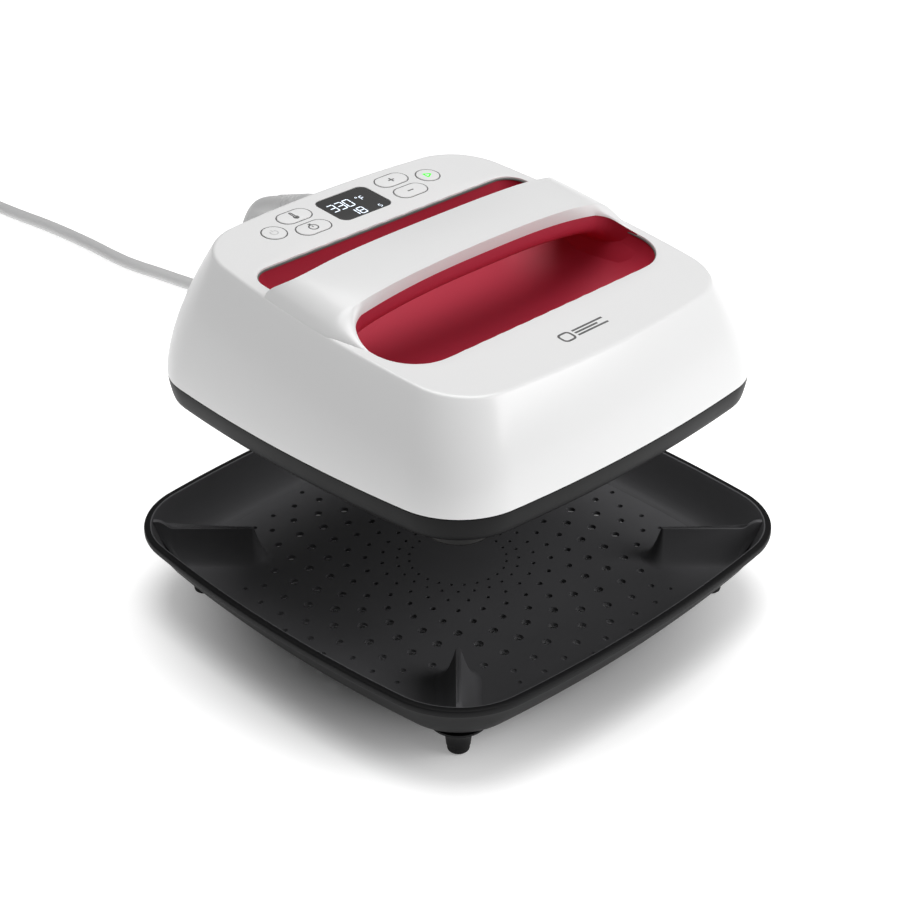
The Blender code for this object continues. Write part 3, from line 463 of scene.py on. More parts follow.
carried_over = {
    "plug_blade_left": nickel_brass,
    "plug_blade_right": nickel_brass,
    "plug_earth_pin": nickel_brass,
    "heating_element": oxidised_steel,
    "insulation_blanket": glass_wool,
    "heat_shield": zinc_steel,
    "limit_thermostat": steatite,
    "thermal_fuse": zinc_steel,
    "temperature_sensor": oxidised_steel,
    "display_module": black_pbt,
    "keypad_left": milky_silicone,
    "keypad_right": milky_silicone,
    "control_board": circuit_board,
    "buzzer": black_pbt,
    "power_board": circuit_board,
    "board_post_left": black_pbt,
    "board_post_right": black_pbt,
    "relay": blue_pbt,
    "terminal_block": black_pbt,
    "line_fuse": steatite,
    "inner_lead": black_pbt,
}
for number in range(1, 5):
    carried_over[f"shield_post_{number}"] = oxidised_steel
    carried_over[f"shield_screw_{number}"] = zinc_steel
for node_name, material in carried_over.items():
    nodes[node_name].data.materials.clear()
    nodes[node_name].data.materials.append(material)
cord.data.materials.append(cord_vinyl)
print(len(bpy.data.materials), "materials,", len(carried_over), "CAD parts keep their shape")

# %% [markdown]
# ## Outlines
# Seen from above, the base, the skirt and the shell are the same kind of square: each side
# is a slightly bowed arc, and each corner a tight one. One function gives all of them.


# %% Bowed square
def outline(half, bow, corner, side_steps=22, corner_steps=22):
    """A square of the given half width. Sides are arcs of radius bow, and corner arcs touch them."""
    offset = bow - half
    at = (np.sqrt(2 * (bow - corner) ** 2 - offset**2) - offset) / 2
    meet = np.arctan2(at, at + offset)
    side = np.linspace(0, meet, side_steps, endpoint=False)
    bend = np.linspace(meet, np.pi / 2 - meet, corner_steps, endpoint=False)
    last = np.linspace(np.pi / 2 - meet, np.pi / 2, side_steps, endpoint=False)
    quarter = np.concatenate([
        np.column_stack([bow * np.cos(side) - offset, bow * np.sin(side)]),
        np.column_stack([at + corner * np.cos(bend), at + corner * np.sin(bend)]),
        np.column_stack([bow * np.cos(last), bow * np.sin(last) - offset]),
    ])
    return np.concatenate([quarter, quarter[:, ::-1] * [-1, 1], -quarter, quarter[:, ::-1] * [1, -1]])


def shrunk(half, bow, corner, inset):
    """The bowed square moved inwards all round."""
    return outline(half - inset, bow - inset, corner - inset)


def rounded_rectangle(left, right, front, rear, front_corner, rear_corner, steps=16):
    """Four quarter arcs, counter-clockwise from the rear right one."""
    arc = np.linspace(0, np.pi / 2, steps)
    corners = [
        (right - rear_corner, rear - rear_corner, rear_corner, 0),
        (left + rear_corner, rear - rear_corner, rear_corner, 1),
        (left + front_corner, front + front_corner, front_corner, 2),
        (right - front_corner, front + front_corner, front_corner, 3),
    ]
    return np.concatenate([
        np.column_stack([x + r * np.cos(arc + k * np.pi / 2), y + r * np.sin(arc + k * np.pi / 2)])
        for x, y, r, k in corners
    ])


print("a bowed square has", len(outline(0.15, 0.85, 0.05)), "points")

# %% [markdown]
# ## The base tray
# The tray is one moulding: a wall that leans out, a flat lip round the rim with a thin
# parting line under it, and an inside that curves down to the floor. Its section is a list of
# insets and heights, carried round the bowed square.

# %% Tray wall
BASE = (0.150, 0.852, 0.051)
FLOOR_TOP = 0.0225
tray_section = [
    (0.0232, 0.0197), (0.0214, 0.0200), (0.0190, 0.0209), (0.0160, 0.0233), (0.0128, 0.0272),
    (0.0096, 0.0322), (0.0065, 0.0378), (0.0041, 0.0422), (0.0031, 0.0437), (0.0031, 0.0442),
    (0.0010, 0.0444), (0.0003, 0.0448), (0.0000, 0.0456), (0.0000, 0.0480), (0.0003, 0.0486),
    (0.0010, 0.0490),
    (0.0036, 0.0490), (0.0043, 0.0488), (0.0046, 0.0482), (0.0055, 0.0460), (0.0078, 0.0402),
    (0.0108, 0.0335), (0.0140, 0.0280), (0.0170, 0.0246), (0.0200, 0.0230), (0.0232, 0.0225),
    (0.0236, 0.0222), (0.0236, 0.0198),
]
wall_rings = [lifted(shrunk(*BASE, inset), z) for inset, z in tray_section]
wall = lofted("tray_wall_moulding", wall_rings, closed=True, sharp=40)
dressed(wall, black_nylon, "base", "tray_wall")
# The inside faces take the lighter nylon: painted light, where light falls into the tray.
wall.data.materials.append(nylon_painted_lit)
ring_count, ring_size = len(tray_section), len(shrunk(*BASE, 0))
rim_top = tray_section.index((0.0036, 0.0490))
ring_of_face = np.arange(ring_count * ring_size) // ring_size
inside = (ring_of_face >= rim_top) & (ring_of_face < ring_count - 2)
wall.data.polygons.foreach_set("material_index", inside.astype(np.int32))
print("tray wall:", len(wall.data.polygons), "faces")

# %% [markdown]
# ## The perforated floor
# Warm air leaves the press through twelve rings of holes. A ring has 24, every other ring is
# turned by half a step, and the holes are widest in the middle rings. The three outer rings
# have fewer, which leaves the corners free for the supports. One mesh of little prisms cuts
# them all in a single Boolean.

# %% Tray floor
FLOOR_THICK = 0.0025
ring_radii = np.array([29, 36, 45, 55, 66, 77, 88, 98.5, 108, 116, 122, 127]) / 1000
hole_radii = (1.0 + 1.8 * np.exp(-(((ring_radii * 1000 - 88) / 32) ** 2))) / 1000
DEGREES_FREE_AT_RIB = {9: 4, 10: 8}  # for the rings, counted from 0, that pass the ribs
LAST_RING = len(ring_radii) - 1
LAST_RING_DEGREES = np.array([30, 60, 120, 150, 210, 240, 300, 330.0])


def carve(piece, cutter_stacks, sharp=30):
    """Cuts separate closed stacks of rings from a piece, and keeps the result as its mesh."""
    cutter = joined_lofts("cutter", cutter_stacks)
    cut = piece.modifiers.new("cut", "BOOLEAN")
    cut.operation = "DIFFERENCE"
    cut.solver = "EXACT"
    cut.object = cutter
    seen = piece.evaluated_get(bpy.context.evaluated_depsgraph_get())
    result = bpy.data.meshes.new_from_object(seen)
    piece.modifiers.clear()
    piece.data = result
    bpy.data.objects.remove(cutter, do_unlink=True)
    piece.data.shade_smooth()
    piece.data.set_sharp_from_angle(angle=np.radians(sharp))
    return piece


hole_places = []
for number, (ring_radius, hole_radius) in enumerate(zip(ring_radii, hole_radii)):
    angles = np.arange(24) * 15.0 + (7.5 if number % 2 == 0 else 0.0)
    past_corner = (angles - 45) % 90
    from_corner = np.minimum(past_corner, 90 - past_corner)
    angles = angles[from_corner > DEGREES_FREE_AT_RIB.get(number, -1)]
    if number == LAST_RING:
        angles = LAST_RING_DEGREES
    hole_places += [(ring_radius, np.radians(angle), hole_radius) for angle in angles]
cutters = [
    np.stack([
        lifted(circle(size, 16, (r * np.cos(a), r * np.sin(a))), z)
        for z in (FLOOR_TOP - FLOOR_THICK - 0.001, FLOOR_TOP + 0.001)
    ])
    for r, a, size in hole_places
]
floor_outline = shrunk(*BASE, 0.0235)
floor_levels = (FLOOR_TOP - FLOOR_THICK, FLOOR_TOP)
floor = lofted("tray_floor_perforated", [lifted(floor_outline, z) for z in floor_levels])
carve(floor, cutters)
dressed(floor, nylon_painted_lit, "base", "tray_floor")
print("the floor has", len(hole_places), "holes")

# %% [markdown]
# ## Corner supports and feet
# Each corner has a rib that the hot plate rests on. Its top is a thin ledge with a raised
# stop at the outer end, and its flanks flare to the floor like a saddle. The rib is a stack
# of stadium outlines that widen as they go down.

# %% Corner supports
LEDGE, STOP_TOP = 0.0437, 0.0485
STOP_AT, NOSE_AT = 0.1665, 0.121
TOP_TRIM = 0.0004  # taken off the ribs' tops, where the hot plate comes to rest
GAP_TO_TRAY = 0.0003
TRAY_INSIDE = [  # heights, and the tray's inner half width there
    (0.0225, 0.1268), (0.0237, 0.1315), (0.0280, 0.1345), (0.0380, 0.1415), (0.0490, 0.1455),
]
SPREAD_OF_RINGS = [1, 0.9, 0.8, 0.7, 0.6, 0.5, 0.4, 0.3, 0.2, 0.12, 0.06, 0.02, 0]


def tray_reach(z, width):
    """How far the tray's inner wall is from the middle along a diagonal, at a height and a
    distance off the diagonal."""
    half = np.interp(z, *zip(*TRAY_INSIDE))
    inset = BASE[0] - half
    reach = (shrunk(*BASE, inset).sum(axis=1) / np.sqrt(2)).max()
    return reach - width**2 / (2 * (BASE[2] - inset)) - GAP_TO_TRAY


def support_rings():
    """Rings of a rib along +X: width grows as the outline sinks by the power 2.2 of its share."""
    base = FLOOR_TOP
    nose_turn = np.linspace(np.pi / 2, 3 * np.pi / 2, 25)
    rings = []
    for share in SPREAD_OF_RINGS:
        width = 0.0014 + 0.0112 * share
        low = base + (LEDGE - base) * (1 - share) ** 2.2
        high = base + (STOP_TOP - base) * (1 - share) ** 2.2
        end = tray_reach(high, width)
        step = min(STOP_AT, tray_reach(low, width) - 0.003)
        rise = np.linspace(0, 1, 9)
        ramp_height = low + (high - low) * hump(rise * 1.3)
        ramp = np.column_stack([step + (end - step) * rise, np.full(len(rise), width), ramp_height])
        nose = lifted(width * np.column_stack([np.cos(nose_turn), np.sin(nose_turn)]), low) + [NOSE_AT, 0, 0]
        rings.append(np.vstack([ramp[::-1], nose, ramp * [1, -1, 1]]))
    rings = np.array(rings)
    crown = rings[-1] * [1, 0.55, 1] + [0, 0, 0.0001]
    rings[:, :, 2] -= TOP_TRIM * hump((rings[:, :, 2] - base) / (LEDGE - base))
    crown[:, 2] -= TOP_TRIM
    return np.concatenate([rings, [crown], [crown * [1, 0.02, 1]]])


for number in range(4):
    turn_to_corner = Matrix.Rotation(np.radians(45 + 90 * number), 4, "Z")
    rib = lofted(f"corner_rib_{number + 1}", moved(support_rings(), turn_to_corner), sharp=50)
    dressed(rib, nylon_painted_lit, "base", f"corner_support_{number + 1}")

# %% Feet
FOOT_AT = 0.151  # from the middle, along a diagonal
foot_profile = [
    (0.0052, 0.0038), (0.0062, 0.0038), (0.0066, 0.0042), (0.0068, 0.0060), (0.0071, 0.0090),
    (0.0079, 0.0120), (0.0093, 0.0145), (0.0112, 0.0166), (0.0138, 0.0184), (0.0160, 0.0196),
    (0.0160, 0.0208),
]
pad_profile = [
    (0.0040, 0.0), (0.0052, 0.0002), (0.0059, 0.0009), (0.0061, 0.0018), (0.0061, 0.0036),
    (0.0056, 0.0039),
]
for number in range(4):
    corner_at = Matrix.Rotation(np.radians(45 + 90 * number), 4, "Z") @ Matrix.Translation((FOOT_AT, 0, 0))
    leg = lofted(f"foot_leg_{number + 1}", moved(turned(foot_profile), corner_at))
    dressed(leg, black_nylon, "base", f"foot_{number + 1}")
    pad = lofted(f"foot_rubber_{number + 1}", moved(turned(pad_profile), corner_at))
    dressed(pad, rubber, "base", f"foot_pad_{number + 1}")
print("four ribs and four feet")

# %% [markdown]
# ## Skirt and heat plate
# Under the white shell sits a dark skirt of heat-proof resin, and inside it the plate that
# does the work. Both have small rounded edges, which catch the light as thin lines.

# %% Skirt and plate
SKIRT = (0.1318, 0.845, 0.043)
SKIRT_HEIGHT = 0.0138
PLATE = (0.1143, 6.0, 0.018)


def at_press(rings):
    """Heights above the skirt's lower edge become heights above the table."""
    return np.asarray(rings, float) + [0, 0, HOVER]


skirt_section = [
    (0.0040, 0.0), (0.0031, 0.0003), (0.0024, 0.0012), (0.0016, 0.0040), (0.0008, 0.0080),
    (0.0002, 0.0118), (0.0002, 0.0134), (0.0006, SKIRT_HEIGHT),
]
plate_clearance = outline(PLATE[0] + 0.0015, PLATE[1], PLATE[2] + 0.0015)
skirt_rings = [lifted(shrunk(*SKIRT, inset), z) for inset, z in skirt_section]
skirt_rings += [lifted(plate_clearance, z) for z in (SKIRT_HEIGHT, 0.0006)]
skirt_rings += [lifted(plate_clearance + np.sign(plate_clearance) * 0.0005, 0.0)]
skirt = lofted("heat_skirt", at_press(skirt_rings), closed=True, sharp=40)
dressed(skirt, black_phenolic, "press", "skirt")
plate_section = [
    (0.0030, -0.0078), (0.0018, -0.0077), (0.0008, -0.0073), (0.0002, -0.0066), (0.0, -0.0058),
    (0.0, 0.0018), (0.0004, 0.0022),
]
plate_rings = [lifted(shrunk(*PLATE, inset), z) for inset, z in plate_section]
plate = lofted("press_plate", at_press(plate_rings))
dressed(plate, ceramic_coat, "press", "heat_plate")
print("plate:", round(2 * PLATE[0] * 1000, 1), "mm across")

# %% [markdown]
# ## The white shell
# The wall rises from the skirt's outline to a smaller one, the crease, on a plane that slopes
# up to the rear. Between the two each point moves inwards as a power of its height, which
# gives the shell its swollen sides. Inside the crease the top is flat up to the hand opening.
# One closed grid holds it all: up the outside, over the crease, across the top, down the lip
# of the opening, and back underneath.

# %% Shell
CREASE = (0.1098, 0.705, 0.036)
PANEL_HEIGHT, PANEL_SLOPE = 0.0789, 0.098
WALL_POWER = 1.6
SHELL_GAP = 0.0003  # seam between the skirt and the shell
OPENING = (-0.1027, 0.1027, -0.0693, 0.0615, 0.026, 0.012)
OPENING_MIDDLE = np.array([0.0, -0.004])


def panel_level(y):
    """Height of the sloping top plane above the skirt's lower edge."""
    return PANEL_HEIGHT + PANEL_SLOPE * np.asarray(y)


def crease_ring(inset=0.0, drop=0.0):
    """The crease: a bowed square on the sloping plane, narrower where the plane is higher."""
    plan = shrunk(*CREASE, inset)
    grown = 1 - 0.149 * PANEL_SLOPE * plan[:, 1:] / CREASE[0]
    plan = plan * np.column_stack([grown, grown]) + [0, -0.0012]
    return lifted(plan, panel_level(plan[:, 1]) - drop)


def opening_plan(inset=0.0):
    """The hand opening in plan, pulled in by inset. Its front edge is bowed a little, its rear
    edge curves forward and its sides lean in towards the rear."""
    left, right, front, rear, front_corner, rear_corner = OPENING
    inset_y = min(inset, 0.0585)
    plan = rounded_rectangle(
        left + inset, right - inset, front + inset_y, rear - inset_y,
        max(0.004, front_corner - inset * 0.35), max(0.003, rear_corner - inset * 0.12), steps=24,
    )
    x, y = plan.T.copy()
    front_share = hump((-0.02 - y) / 0.03)
    rear_share = hump((y - 0.005) / 0.045)
    plan[:, 1] += front_share * 0.0012 * np.minimum(1, (x / 0.0775) ** 2)
    plan[:, 1] -= rear_share * 0.0036 * (x / 0.084) ** 2
    plan[:, 0] -= rear_share * 0.0018 * x / right
    return plan


def opening_ring(columns, grow=0.0):
    """Points of the hand opening that lie on the same rays from its middle as the given columns."""
    plan = opening_plan() - OPENING_MIDDLE
    steps = np.linspace(0, 1, 12, endpoint=False)[:, None]
    dense = np.concatenate([a + (b - a) * steps for a, b in zip(plan, np.roll(plan, -1, 0))])
    ray = np.arctan2(dense[:, 1], dense[:, 0])
    order = np.argsort(ray)
    reach = np.hypot(*dense.T)[order]
    wanted = columns[:, :2] - OPENING_MIDDLE
    angle = np.arctan2(wanted[:, 1], wanted[:, 0])
    distance = np.interp(angle, ray[order], reach, period=2 * np.pi) + grow
    return OPENING_MIDDLE + distance[:, None] * np.column_stack([np.cos(angle), np.sin(angle)])


def bend_over(start, corner, end, steps=5):
    """Quadratic Bezier between two rings with the corner ring as its control."""
    t = np.linspace(0, 1, steps)[:, None, None]
    return (1 - t) ** 2 * start + 2 * t * (1 - t) * corner + t**2 * end


def between(start, end, plan_share, height_share):
    """Rings on the way from one ring to another: the plan moves by one share, the height by the other."""
    plan = start[:, :2] + (end[:, :2] - start[:, :2]) * plan_share
    return np.concatenate([plan, start[:, 2:] + (end[:, 2:] - start[:, 2:]) * height_share], axis=2)


def shell_rings():
    """The shell's closed section: the height share to the wall's power moves the plan inwards."""
    foot_level = SKIRT_HEIGHT + SHELL_GAP
    low = lifted(outline(*SKIRT), foot_level)
    high = crease_ring()
    share = np.linspace(0, 1, 30)[:, None, None]
    wall = between(low, high, share**WALL_POWER, share)
    down = wall[-3] - high
    down /= np.linalg.norm(down, axis=1)[:, None]
    edge = opening_ring(high)
    inward = lifted(edge, panel_level(edge[:, 1])) - high
    inward /= np.linalg.norm(inward, axis=1)[:, None]
    rounding = 0.0017
    crease = bend_over(high + down * rounding, high, high + inward * rounding, 6)
    lip_radius = 0.0007
    lip_out = opening_ring(high, lip_radius)
    lip_plane = lifted(lip_out, panel_level(lip_out[:, 1]))
    lip_corner = lifted(edge, panel_level(edge[:, 1]))
    lip = bend_over(lip_plane, lip_corner, lip_corner - [0, 0, lip_radius], 4)
    start = high + inward * (rounding + 0.0004)
    top = start + (lip_plane - start) * np.array([0, 0.25, 0.5, 0.75])[:, None, None]
    lip_foot = lip_corner - [0, 0, 0.0014]
    behind = opening_ring(high, 0.0022)
    under_lip = lifted(behind, panel_level(behind[:, 1]) - 0.0028)
    under_top = lifted(behind, panel_level(behind[:, 1]) - 0.0026)
    inner_high = crease_ring(0.0030, 0.0028)
    inner_low = lifted(shrunk(*SKIRT, 0.0025), foot_level)
    fall = np.linspace(0, 1, 8)[:, None, None]
    inner = between(inner_high, inner_low, 1 - (1 - fall) ** WALL_POWER, fall)
    return np.concatenate([wall[:-2], crease, top, lip, [lip_foot, under_lip, under_top], inner])


shell = lofted("shell_moulding", at_press(shell_rings()), closed=True)
print("shell:", len(shell.data.polygons), "faces")

# %% [markdown]
# ## Holes for the controls
# The control panel lies behind the hand opening. Each button is a separate cap that moves a little,
# so the shell needs real holes. A small matrix puts shapes on the sloping panel: its origin
# on the surface, its Z square to it.

# %% Control holes
PANEL_MIDDLE_Y = 0.0838
BUTTONS = {
    "power_button": (-0.0590, 0.0838, 0.0069, 0.0),
    "temperature_button": (-0.0373, 0.0920, 0.0060, 0.0049),
    "time_button": (-0.0373, 0.0757, 0.0060, 0.0049),
    "plus_button": (0.0373, 0.0920, 0.0060, 0.0049),
    "minus_button": (0.0373, 0.0757, 0.0060, 0.0049),
    "start_button": (0.0590, 0.0838, 0.0069, 0.0),
}
WINDOW = (0.0380, 0.0275, 0.005)
WINDOW_GAP, BUTTON_GAP = 0.0003, 0.00035
CUT_DEPTHS = (-0.006, 0.004)
SEAM = 1e-6  # half a pill's shortest straight, so that its two half circles never share a point


def on_panel(x, y):
    """Matrix of the panel's surface at a plan point."""
    tilt = Matrix.Rotation(np.arctan(PANEL_SLOPE), 4, "X")
    return Matrix.Translation((x, y, float(panel_level(y)) + HOVER)) @ tilt


def pill(radius, straight, steps=24):
    """Two half circles with a straight stretch between them."""
    right = np.linspace(-np.pi / 2, np.pi / 2, steps)
    left = right + np.pi
    return np.concatenate([
        np.column_stack([straight + radius * np.cos(right), radius * np.sin(right)]),
        np.column_stack([-straight + radius * np.cos(left), radius * np.sin(left)]),
    ])[: 2 * steps - (1 if straight == 0 else 0)]


def rectangle(width, depth, corner, steps=10):
    """A rounded rectangle round the origin."""
    return rounded_rectangle(-width / 2, width / 2, -depth / 2, depth / 2, corner, corner, steps)


hole_stacks = [
    moved([lifted(pill(r + BUTTON_GAP, s + SEAM), z) for z in CUT_DEPTHS], on_panel(x, y))
    for x, y, r, s in BUTTONS.values()
]
window_hole = rectangle(WINDOW[0] + 2 * WINDOW_GAP, WINDOW[1] + 2 * WINDOW_GAP, WINDOW[2] + WINDOW_GAP)
hole_stacks.append(moved([lifted(window_hole, z) for z in CUT_DEPTHS], on_panel(0, PANEL_MIDDLE_Y)))
carve(shell, hole_stacks)
dressed(shell, white_abs, "press", "upper_shell")
print("shell with its holes:", len(shell.data.polygons), "faces")

# %% [markdown]
# ## The handle bridge
# The handle arches over the hand opening and runs smoothly into the side walls. Along X its
# front edge is an ellipse, and its rear edge is flatter. Near the ends the sides lean
# outwards to meet the slope of the walls, and the front face turns down into the ledge.

# %% Handle bridge
BRIDGE_HALF = 0.1095
crease_plan = crease_ring()
right_side = crease_plan[crease_plan[:, 0] > 0.09]
right_side = right_side[np.argsort(right_side[:, 1])]


def crease_x(y):
    """Half width of the crease at a place along Y."""
    return np.interp(y, right_side[:, 1], right_side[:, 0])


def front_rise(q):
    """Front top edge: an ellipse 23.2 mm high."""
    return 0.0232 * np.sqrt(np.clip(1 - q**2, 0, 1))


def rear_rise(q):
    """Rear top edge: a flat arch that drops steeply near its ends."""
    return 0.0185 * (1 - np.abs(q * BRIDGE_HALF / 0.195) ** 2.5) * np.sqrt(np.clip(1 - np.abs(q) ** 8, 0, 1))


LEAN = 0.47
LEAN_HEIGHT = 0.004


def bridge_line(q, w):
    """Points of the bridge's top for station q from -1 to 1 and w from 0 at the front edge to 1 at
    the rear edge."""
    x0 = q * BRIDGE_HALF
    front_y = -0.0249 + 0.0077 * (x0 / 0.1) ** 2
    rear_y = 0.0185 + 0.0010 * (x0 / 0.1) ** 2 + 0.0145 * np.abs(q) ** 14
    y = front_y + (rear_y - front_y) * w
    rise = front_rise(q) + (rear_rise(q) - front_rise(q)) * w
    rise = rise + 0.0008 * np.sin(np.pi * w) * (1 - q**2)
    spread = LEAN * np.clip(LEAN_HEIGHT - rise, 0, None) ** 2 / (2 * LEAN_HEIGHT)
    reach = crease_x(y) - LEAN * LEAN_HEIGHT / 2
    x = q * reach + np.sign(q) * spread
    return np.stack([x, y, panel_level(y) + rise], -1)


ARCH_SHARE = 0.78
EDGE_END = np.array([
    (0.0901, -0.0198, 0.0068), (0.0975, -0.0238, 0.0044), (0.1016, -0.0322, 0.0012),
    (0.1031, -0.0438, -0.0010),
])


def bridge_underside(q):
    """Front lower edge: an arch below the front face as far as ARCH_SHARE of the way out, then a
    Catmull-Rom curve through four points that turns forward and down to the ledge."""
    side, q = np.sign(q), np.abs(q)
    arch_end, _, end_rise = EDGE_END[0]
    reach = arch_end * q / ARCH_SHARE
    y = -0.0222 + 0.0024 * (reach / arch_end) ** 2
    rise = 0.01463 - (0.01463 - end_rise) * (reach / arch_end) ** 2.6
    line = np.stack([reach, y, rise], -1)
    share = np.clip((q - ARCH_SHARE) / 0.22, 0, 1) * 3
    before = EDGE_END[0] - [0.0080, -0.0004, -0.0021]
    knots = np.vstack([before, EDGE_END, 2 * EDGE_END[-1] - EDGE_END[-2]])
    first = np.minimum(share.astype(int), 2)
    t = (share - first)[:, None]
    p0, p1, p2, p3 = (knots[first + k] for k in range(4))
    bend = p1 + 0.5 * t * (p2 - p0 + t * (2 * p0 - 5 * p1 + 4 * p2 - p3 + t * (3 * (p1 - p2) + p3 - p0)))
    line = np.where((q > ARCH_SHARE)[:, None], bend, line)
    return np.column_stack([side * line[:, 0], line[:, 1], panel_level(line[:, 1]) + line[:, 2]])


station = np.sin(np.linspace(-np.pi / 2, np.pi / 2, 121))
across = np.linspace(0, 1, 15)
top = np.stack([bridge_line(station, w) for w in across], axis=1)
lower = bridge_underside(station)
front_face = lower[:, None, :] + (top[:, :1] - lower[:, None, :]) * np.linspace(0, 1, 7)[None, 1:-1, None]
inside_front = lower + [0, 0.0016, 0.0004]
rear_drop = np.stack([top[:, -1] - [0, 0, depth] for depth in (0.0030, 0.0060)], axis=1)
forward = np.linspace(0, 1, 6)[None, 1:, None]
under = rear_drop[:, -1:] + (inside_front[:, None, :] - rear_drop[:, -1:]) * forward
bridge_rings = np.concatenate([top, rear_drop, under, lower[:, None, :], front_face], axis=1)
buried = bridge_rings[[0, -1]].copy()
buried[:, :, 0] += np.sign(buried[:, :, 0]) * 0.0009
buried[:, :, 2] -= 0.0030
bridge_rings = np.concatenate([buried[:1], bridge_rings, buried[1:]])
bridge = lofted("handle_bridge", at_press(bridge_rings), sharp=32)
edges = bridge.modifiers.new("soft edges", "BEVEL")
edges.width = 0.0007
edges.segments = 3
edges.angle_limit = np.radians(32)
edges.harden_normals = False
dressed(bridge, white_abs, "press", "upper_shell")
print("bridge:", len(bridge.data.polygons), "faces")

# %% [markdown]
# ## The red grip and the red basin
# Under the bridge hangs a rounded grip that flares at both ends into the basin, so no gap is
# left for fingers to catch in. The basin is a soft dish: its rings shrink from the opening's
# outline while they sink along a smooth curve.

# %% Basin
basin_section = [
    (0.0, 0.0012), (0.0004, 0.0045), (0.0012, 0.0085), (0.0030, 0.0130), (0.0060, 0.0180),
    (0.0100, 0.0226), (0.0150, 0.0268), (0.0215, 0.0306), (0.0300, 0.0336), (0.0400, 0.0354),
    (0.0500, 0.0361), (0.0600, 0.0363),
]
basin_inset, basin_depth = np.array(basin_section).T


def basin_ring(inset, depth):
    """The opening's outline pulled in by inset, and sunk by depth under the sloping top."""
    plan = opening_plan(inset)
    return lifted(plan, panel_level(plan[:, 1]) - depth)


fine_share = np.linspace(0, 1, 46)
section_share = np.linspace(0, 1, len(basin_section))
fine_inset = np.interp(fine_share, section_share, basin_inset)
fine_depth = np.interp(fine_share, section_share, basin_depth)
smoothing = np.ones(5) / 5
fine_inset[3:-3] = np.convolve(fine_inset, smoothing, "same")[3:-3]
fine_depth[3:-3] = np.convolve(fine_depth, smoothing, "same")[3:-3]
visible = [basin_ring(a, b) for a, b in zip(fine_inset, fine_depth)]
BASIN_WALL = 0.0012
back = zip(fine_inset[::-3], fine_depth[::-3])
hidden = [basin_ring(max(a - BASIN_WALL, -BASIN_WALL), b + 0.0022) for a, b in back]
basin_rings = np.array(hidden + [basin_ring(-BASIN_WALL, 0.0014)] + visible)
basin = lofted("well_basin", at_press(basin_rings), sharp=60)
dressed(basin, red_polypropylene, "press", "well_liner")
seal_section = [(-0.0008, 0.0010), (0.0003, 0.0010), (0.0005, 0.0015), (0.0004, 0.0021), (-0.0008, 0.0021)]
seal = lofted("well_seal", at_press([basin_ring(*place) for place in seal_section]), closed=True)
dressed(seal, dark_gasket, "press")
print("basin:", len(basin.data.polygons), "faces")


# %% Grip
def grip_rings(count=150, around=34):
    """Sections from left to right. Each hangs from the bridge's lower edge as a half superellipse,
    and swells like a trumpet over the last fifth. Points that would pass the basin's end wall stop
    just inside it."""
    q = np.sin(np.linspace(-np.pi / 2, np.pi / 2, count))
    lower_edge = bridge_underside(q)
    x, front = lower_edge[:, 0], lower_edge[:, 1] + 0.0006
    swell = 1 - np.sqrt(1 - np.clip((np.abs(x) - 0.078) / 0.0262, 0, 0.999) ** 2)
    rear = 0.0168 + 0.0010 * (x / 0.1) ** 2 + 0.0120 * swell
    roof = lower_edge[:, 2] - panel_level(lower_edge[:, 1]) + 0.0003
    depth = 0.0155 + 0.0105 * swell
    turn = np.linspace(0, np.pi, around)
    middle, reach = (front + rear) / 2, (rear - front) / 2
    y = middle[:, None] - reach[:, None] * np.cos(turn)[None, :]
    sag = np.sin(turn)[None, :] ** 0.48
    fall = roof[:, None] - depth[:, None] * sag
    wall = OPENING[1] + 0.0004 - np.interp(-fall, basin_depth, basin_inset)
    x_all = np.sign(x)[:, None] * np.minimum(np.abs(x)[:, None], wall)
    bottom = np.stack([x_all, y, panel_level(y) + fall], -1)
    y_top = rear[:, None] + (front - rear)[:, None] * np.linspace(0, 1, 8)[None, 1:-1]
    z_top = panel_level(y_top) + roof[:, None] + 0.0012
    roof_points = np.stack([np.broadcast_to(x[:, None], y_top.shape), y_top, z_top], -1)
    return np.concatenate([bottom, roof_points], axis=1)


grip = lofted("handle_grip_moulding", at_press(grip_rings()), sharp=50)
dressed(grip, red_polypropylene, "press", "handle_grip")
print("grip:", len(grip.data.polygons), "faces")

# %% [markdown]
# ## Buttons, icons and the display
# The caps sit flush in their holes with a hair-wide gap round them. Icons are pad-printed,
# which we model as films that rise 0.06 mm: each stroke is a ribbon of constant width along a
# line, laid in the panel's own frame. The digits are the usual seven segments.


# %% Strokes
def ribbon(line, width, low=0.0, high=0.00006, closed=False):
    """A flat stroke: the line is offset to both sides by half the width, and given a thickness."""
    line = np.asarray(line, float)
    along = (np.roll(line, -1, 0) - np.roll(line, 1, 0)) if closed else np.gradient(line, axis=0)
    along = along / np.linalg.norm(along, axis=1)[:, None]
    side = np.column_stack([-along[:, 1], along[:, 0]]) * width / 2
    left, right = line + side, line - side
    if closed:
        return np.stack([lifted(left, low), lifted(right, low), lifted(right, high), lifted(left, high)])
    loop = np.concatenate([left, right[::-1]])
    return np.stack([lifted(loop, low), lifted(loop, high)])


def arc(radius, start, end, steps=28, middle=(0.0, 0.0)):
    """Points at equal angles from start to end, in degrees."""
    turn = np.radians(np.linspace(start, end, steps))
    return np.column_stack([middle[0] + radius * np.cos(turn), middle[1] + radius * np.sin(turn)])


def bar(x0, y0, x1, y1):
    """A straight line from one point to another."""
    return np.array([[x0, y0], [x1, y1]])


